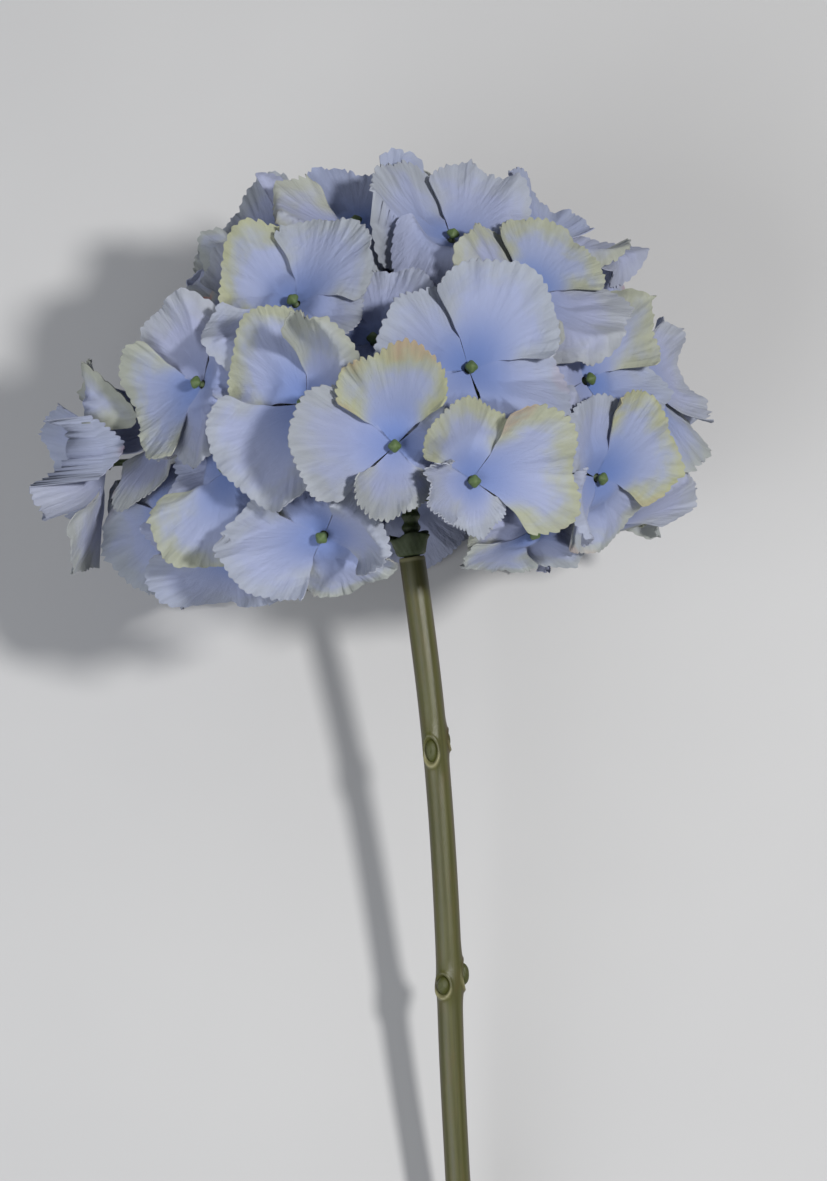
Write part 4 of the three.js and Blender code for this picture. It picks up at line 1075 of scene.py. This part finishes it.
# Painted shade: the stem darkens and browns along its two sides, left and right of its front.
painted_side_shade = add_node(tree, "MapRange", SMOOTH,
                  {"Value": sideways, "From Min": 0.82, "From Max": 1.0, "To Max": 0.65})
color = add_node(tree, "Mix", COLORS, {"Factor": flowed, "A": "#444422", "B": "#51512a"})
for mask, code in ((mottled, "#574d2c"), (painted_side_shade, "#46361f"), (paleness, "#94906c")):
    color = add_node(tree, "Mix", COLORS, {"Factor": mask, "A": color, "B": code})
gloss = add_node(tree, "MapRange", SMOOTH,
                 {"Value": flow, "From Min": 0.3, "From Max": 0.7, "To Min": 0.3, "To Max": 0.38})
spark = add_node(tree, "TexNoise", inputs={"Scale": 1000.0, "Detail": 3.0})
relief = add_node(tree, "Math", MULTIPLY_ADD, {0: flow, 1: 0.5, 2: spark})
bump = add_node(tree, "Bump", inputs={"Strength": 0.2, "Distance": 0.0002, "Height": relief})
fill_inputs(tree, shader, {"Base Color": color, "Roughness": gloss, "Normal": bump})
stem_faces = ring_faces(len(row_places), STEM_SIDES)
add_piece("moulded_stem", rings, stem_faces, "stem", stem_plastic,
          {"stem_place": stem_places, "stem_look": stem_looks})

# %% [markdown]
# A steel wire inside lets the stem be bent. It is drawn through a die, so its shine is broken by fine
# lines along it. They are a hundredth of a millimetre apart, and drawn at 0.2 mm to show at all.

# %% Drawn steel
drawn_steel, tree, shader = new_material("drawn_steel_wire", {"Metallic": 1.0, "Roughness": 0.35})
lines = stem_noise(tree, (5.0, 0.05, 5.0), 4.0)
color = add_node(tree, "Mix", COLORS, {"Factor": lines, "A": "#7d7f80", "B": "#a8aaac"})
gloss = add_node(tree, "MapRange", SMOOTH,
                 {"Value": lines, "From Min": 0.3, "From Max": 0.7, "To Min": 0.28, "To Max": 0.5})
bump = add_node(tree, "Bump", inputs={"Strength": 0.3, "Distance": 0.0001, "Height": lines})
fill_inputs(tree, shader, {"Base Color": color, "Roughness": gloss, "Normal": bump})
print("drawn steel takes", len(tree.nodes), "nodes")

# %% [markdown]
# The wire shows only at the cut end, flush with the plastic, where a shear leaves it slightly domed.

# %% The wire in the stem
WIRE_SIDES, SHEARED = 24, 0.3  # the sheared end is rounded over this length
wire_top = SOCKET_DEPTH + 1
wire_run = np.linspace(wire_top + 3, STEM_REACH - SHEARED, 40)
wire_rows = np.array([wire_top, wire_top + SHEARED, *wire_run, STEM_REACH])
wire_radii = np.full(len(wire_rows), WIRE_RADIUS)
wire_radii[[0, -1]] -= SHEARED, 0.25
wire_points = ring_points(wire_rows, wire_radii[:, None], WIRE_SIDES)
wire_places = around_stem(wire_rows, turns_around(WIRE_SIDES), WIRE_RADIUS)
add_piece("drawn_wire", wire_points, capped_faces(len(wire_rows), WIRE_SIDES), "stem_wire",
          drawn_steel, {"stem_place": wire_places})

# %% [markdown]
# The sockets' plugs are of the same polyethylene with more dye in it, in a cloudier and darker green.
# They come from a rougher mould, so the shine is a little duller than the stem's.

# %% Dark plug plastic
plug_plastic, tree, shader = new_material("dark_moulded_polyethylene", {"Roughness": 0.42})
cloud = add_node(tree, "TexNoise", inputs={"Scale": 420.0, "Detail": 4.0})
clouded = add_node(tree, "MapRange", SMOOTH, {"Value": cloud, "From Min": 0.35, "From Max": 0.65})
color = add_node(tree, "Mix", COLORS, {"Factor": clouded, "A": "#343813", "B": "#4f5220"})
gloss = add_node(tree, "MapRange", SMOOTH,
                 {"Value": cloud, "From Min": 0.3, "From Max": 0.7, "To Min": 0.36, "To Max": 0.52})
bump = add_node(tree, "Bump", inputs={"Strength": 0.3, "Distance": 0.0003, "Height": cloud})
fill_inputs(tree, shader, {"Base Color": color, "Roughness": gloss, "Normal": bump})
print("plug plastic takes", len(tree.nodes), "nodes")

# %% [markdown]
# Small plugs sit in the sockets where leaves were not fitted. Each is a lens-shaped button with a
# dimple where the moulding gate broke off. A plug's length runs along the stem.

# %% The plugs in the sockets
PLUG_ROWS, PLUG_SIDES = 18, 32
DIMPLE_DEPTH, DIMPLE_WIDTH = 0.3, 0.3  # a depth in millimetres, and a share of the plug


def plug_points(below, turn, half_length, half_across, half_height, seat):
    along, front, side = stem_frame(below)
    turn = math.radians(turn)
    out = math.cos(turn) * front + math.sin(turn) * side
    centre = stem_point(below) + out * (STEM_RADIUS - seat)
    lift = np.linspace(-math.pi / 2, math.pi / 2, PLUG_ROWS)[:, None]
    spin = turns_around(PLUG_SIDES)
    flat = np.maximum(np.cos(lift), 0.02)
    dimple = DIMPLE_DEPTH * np.exp(-(flat / DIMPLE_WIDTH) ** 2) * (lift > 0)
    high = np.sin(lift) * half_height - dimple
    return (centre + (flat * np.cos(spin))[..., None] * half_length * along
            + (flat * np.sin(spin))[..., None] * half_across * np.cross(along, out)
            + (high + 0 * spin)[..., None] * out)


for name, bud in BUDS.items():
    add_piece(name.replace("bud", "plug"), plug_points(*bud), capped_faces(PLUG_ROWS, PLUG_SIDES),
              name, plug_plastic)

# %% [markdown]
# Collar and spray are moulded of a darker, matt green plastic, and the beads are lighter. Each corner
# carries a tone that says how much of a bead it is, so that one material serves the whole moulding.

# %% Green moulded plastic
spray_plastic, tree, shader = new_material("green_moulded_plastic", {"Roughness": 0.48})
tone, _, _ = read_attribute(tree, "moulded_tone")
cloud = add_node(tree, "TexNoise", inputs={"Scale": 260.0, "Detail": 5.0})
clouded = add_node(tree, "MapRange", SMOOTH, {"Value": cloud, "From Min": 0.3, "From Max": 0.7})
branch = add_node(tree, "Mix", COLORS, {"Factor": clouded, "A": "#2e3920", "B": "#4c5a34"})
bead = add_node(tree, "Mix", COLORS, {"Factor": cloud, "A": "#3f5230", "B": "#5f7442"})
color = add_node(tree, "Mix", COLORS, {"Factor": tone, "A": branch, "B": bead})
gloss = add_node(tree, "MapRange", SMOOTH,
                 {"Value": cloud, "From Min": 0.3, "From Max": 0.7, "To Min": 0.4, "To Max": 0.58})
grit = add_node(tree, "TexNoise", inputs={"Scale": 1100.0, "Detail": 3.0})
bump = add_node(tree, "Bump", inputs={"Strength": 0.35, "Distance": 0.0003, "Height": grit})
fill_inputs(tree, shader, {"Base Color": color, "Roughness": gloss, "Normal": bump})
print("green moulded plastic takes", len(tree.nodes), "nodes")

# %% [markdown]
# The spray's shank is pushed into the stem's top, and a frilled collar hides the joint. It is one
# sheet turned round a profile, up the outside and down the inside, with a wavy edge and small dents,
# because it was squeezed when the stem was packed.

# %% The collar
SHANK_RADIUS = 2.6
COLLAR_PROFILE = [(0.8, 0), (1.4, 0.1), (2.0, 0.5), (2.4, 1.5), (3.0, 3.4), (3.5, 5.0),
                  (4.1, 6.5), (3.9, 6.9), (3.4, 6.6), (2.7, 5.0), (2.1, 3.8), (1.5, 1.8)]
COLLAR_SIDES = 96
collar_turns = turns_around(COLLAR_SIDES)
collar_up = unit(stem_point(0.0) - stem_point(4.0))
collar_side = np.cross(collar_up, FRONT)
thickness, height = (np.array(part)[:, None] for part in zip(*COLLAR_PROFILE))
frill = 0.65 * np.minimum(1, height / 6) * np.cos(6 * collar_turns)
frill += 0.12 * np.sin(17 * collar_turns + height)
dents = 0.16 * np.sin(5 * collar_turns + 2.1 * height) * np.sin(1.3 * height)
radius = SHANK_RADIUS + thickness + frill + dents
height = height + 0.8 * np.sin(3 * collar_turns + 1) * smoothstep(height, 4.0, 6.9)
collar_points = (stem_point(0.0) + CLEARANCE * collar_up + height[..., None] * collar_up
                 + (radius * np.cos(collar_turns))[..., None] * FRONT
                 + (radius * np.sin(collar_turns))[..., None] * collar_side)
collar_faces = ring_faces(len(COLLAR_PROFILE), COLLAR_SIDES)
add_piece("frilled_collar", collar_points, collar_faces, "collar", spray_plastic,
          {"moulded_tone": np.zeros((collar_points.size // 3, 3))})

# %% [markdown]
# The spray is one moulding of many round rods, each swept along its own path. In Blender each would be
# a curve with a bevel, but plain rings of points are lighter and keep the beads' four lobes. The rods
# are sunk into each other at their roots, as in the mould.

# %% Sweep a rod
spray_points, spray_faces, spray_tones = [], [], []


def add_sweep(path, radii, sides, tone, lobes=0.0):
    path, radii = np.asarray(path), np.asarray(radii, dtype=float)
    ahead = unit(np.gradient(path, axis=0))
    reference = RIGHT if abs(ahead[0] @ FRONT) > 0.9 else FRONT
    front = unit(reference - ahead * (ahead @ reference)[:, None])
    side = np.cross(front, ahead)
    turn = turns_around(sides)[:, None]
    ring = radii[:, None, None] * (1 + lobes * np.cos(4 * turn))
    points = path[:, None] + ring * (np.cos(turn) * front[:, None] + np.sin(turn) * side[:, None])
    start = sum(len(part) for part in spray_points)
    points = points.reshape(-1, 3)
    faces = outward(points - points.mean(axis=0), capped_faces(len(path), sides))
    spray_points.append(points)
    spray_faces.append(faces + start)
    spray_tones.append(np.tile([tone, 0.0, 0.0], (len(points), 1)))


print("rods in the spray so far:", len(spray_points))

# %% [markdown]
# A ribbed shank climbs from the socket in the stem's top into the head, where it thickens into the
# core that the stalks leave from.

# %% Shank and core
NECK_TOP = HEAD_MIDDLE + heading(2.5, -19, 0)
CROWN = HEAD_MIDDLE + 22 * HEAD_AXIS
SHANK_RIBS = 9
rib = np.linspace(0, 1, 8 * SHANK_RIBS + 1)
shank = stem_point(0.0) + rib[:, None] * (NECK_TOP - stem_point(0.0))
ribbed = SHANK_RADIUS + 0.1 - 0.4 * np.cos(math.pi * SHANK_RIBS * rib) * smoothstep(rib, 0.02, 0.1)
plugged = stem_point(np.linspace(SOCKET_DEPTH - 1, 0.5, 6))
core = np.array([NECK_TOP + 0.4 * (HEAD_MIDDLE - NECK_TOP), HEAD_MIDDLE, CROWN - 2 * HEAD_AXIS, CROWN])
add_sweep(np.vstack([plugged, shank, core]),
          np.concatenate([np.full(6, SHANK_RADIUS - 0.15), ribbed, [4.5, 4.5, 3.2, 2.2]]), 40, 0.0)
print("the shank and core run for", round(float(np.linalg.norm(CROWN - plugged[0]))), "mm")

# %% [markdown]
# A stalk bends out of the core to every floret and is straight for its last stretch. It ends in a
# seat plate, then a pin that passes through the cloth, and a bead that is snapped on top.

# %% Stalks, pins and beads
PIN_RADIUS, SEAT_RADIUS, STALK_ROOT, STALK_RADIUS = 0.85, 2.3, 1.45, 1.1
STALK_STRAIGHT, SEAT_DEPTH = 30, 2.2
for floret in florets:
    direction = floret.direction
    climb = float(np.clip((direction @ HEAD_AXIS + 0.6) / 1.5, 0, 1))
    root = NECK_TOP + (HEAD_MIDDLE - NECK_TOP) * min(1, 2 * climb)
    root = root + (CROWN - root) * max(0, 2 * climb - 1)
    hub = floret.dome - floret.sink
    seat = hub - FABRIC / 2 - CLEARANCE
    top = hub + FABRIC / 2 + 2 * CLEARANCE + 0.3
    bend = HEAD_MIDDLE + (seat - STALK_STRAIGHT) * direction
    foot = HEAD_MIDDLE + (seat - SEAT_DEPTH) * direction
    t = np.linspace(0, 1, 12)[:, None]
    curve = (1 - t) ** 2 * root + 2 * t * (1 - t) * (root + 0.55 * (bend - root)) + t ** 2 * bend
    straight = bend + np.linspace(0.15, 1, 6)[:, None] * (foot - bend)
    add_sweep(np.vstack([curve, straight]), np.linspace(STALK_ROOT, STALK_RADIUS, 18), 10, 0.0)
    # The seat plate and the pin: how far from the head's middle, and how thick.
    steps = [(seat - 2.4, 1.05), (seat - 1.3, 1.3), (seat - 0.65, SEAT_RADIUS - 0.1),
             (seat - 0.3, SEAT_RADIUS), (seat - 0.05, SEAT_RADIUS - 0.15),
             (seat, PIN_RADIUS), (top, PIN_RADIUS)]
    reaches, radii = (np.array(part) for part in zip(*steps))
    add_sweep(HEAD_MIDDLE + reaches[:, None] * direction, radii, 20, 0.15)
    shape = np.linspace(0, 1, 9)
    girth = BEAD_RADIUS * np.sin(math.pi * np.clip(shape, 0.03, 0.97)) ** 0.75 * (1 - 0.12 * shape)
    add_sweep(HEAD_MIDDLE + (top - 0.05 + BEAD_LENGTH * shape)[:, None] * direction, girth, 24, 1.0, 0.1)
add_piece("moulded_spray", np.concatenate(spray_points), np.concatenate(spray_faces), "spray",
          spray_plastic, {"moulded_tone": np.concatenate(spray_tones)})
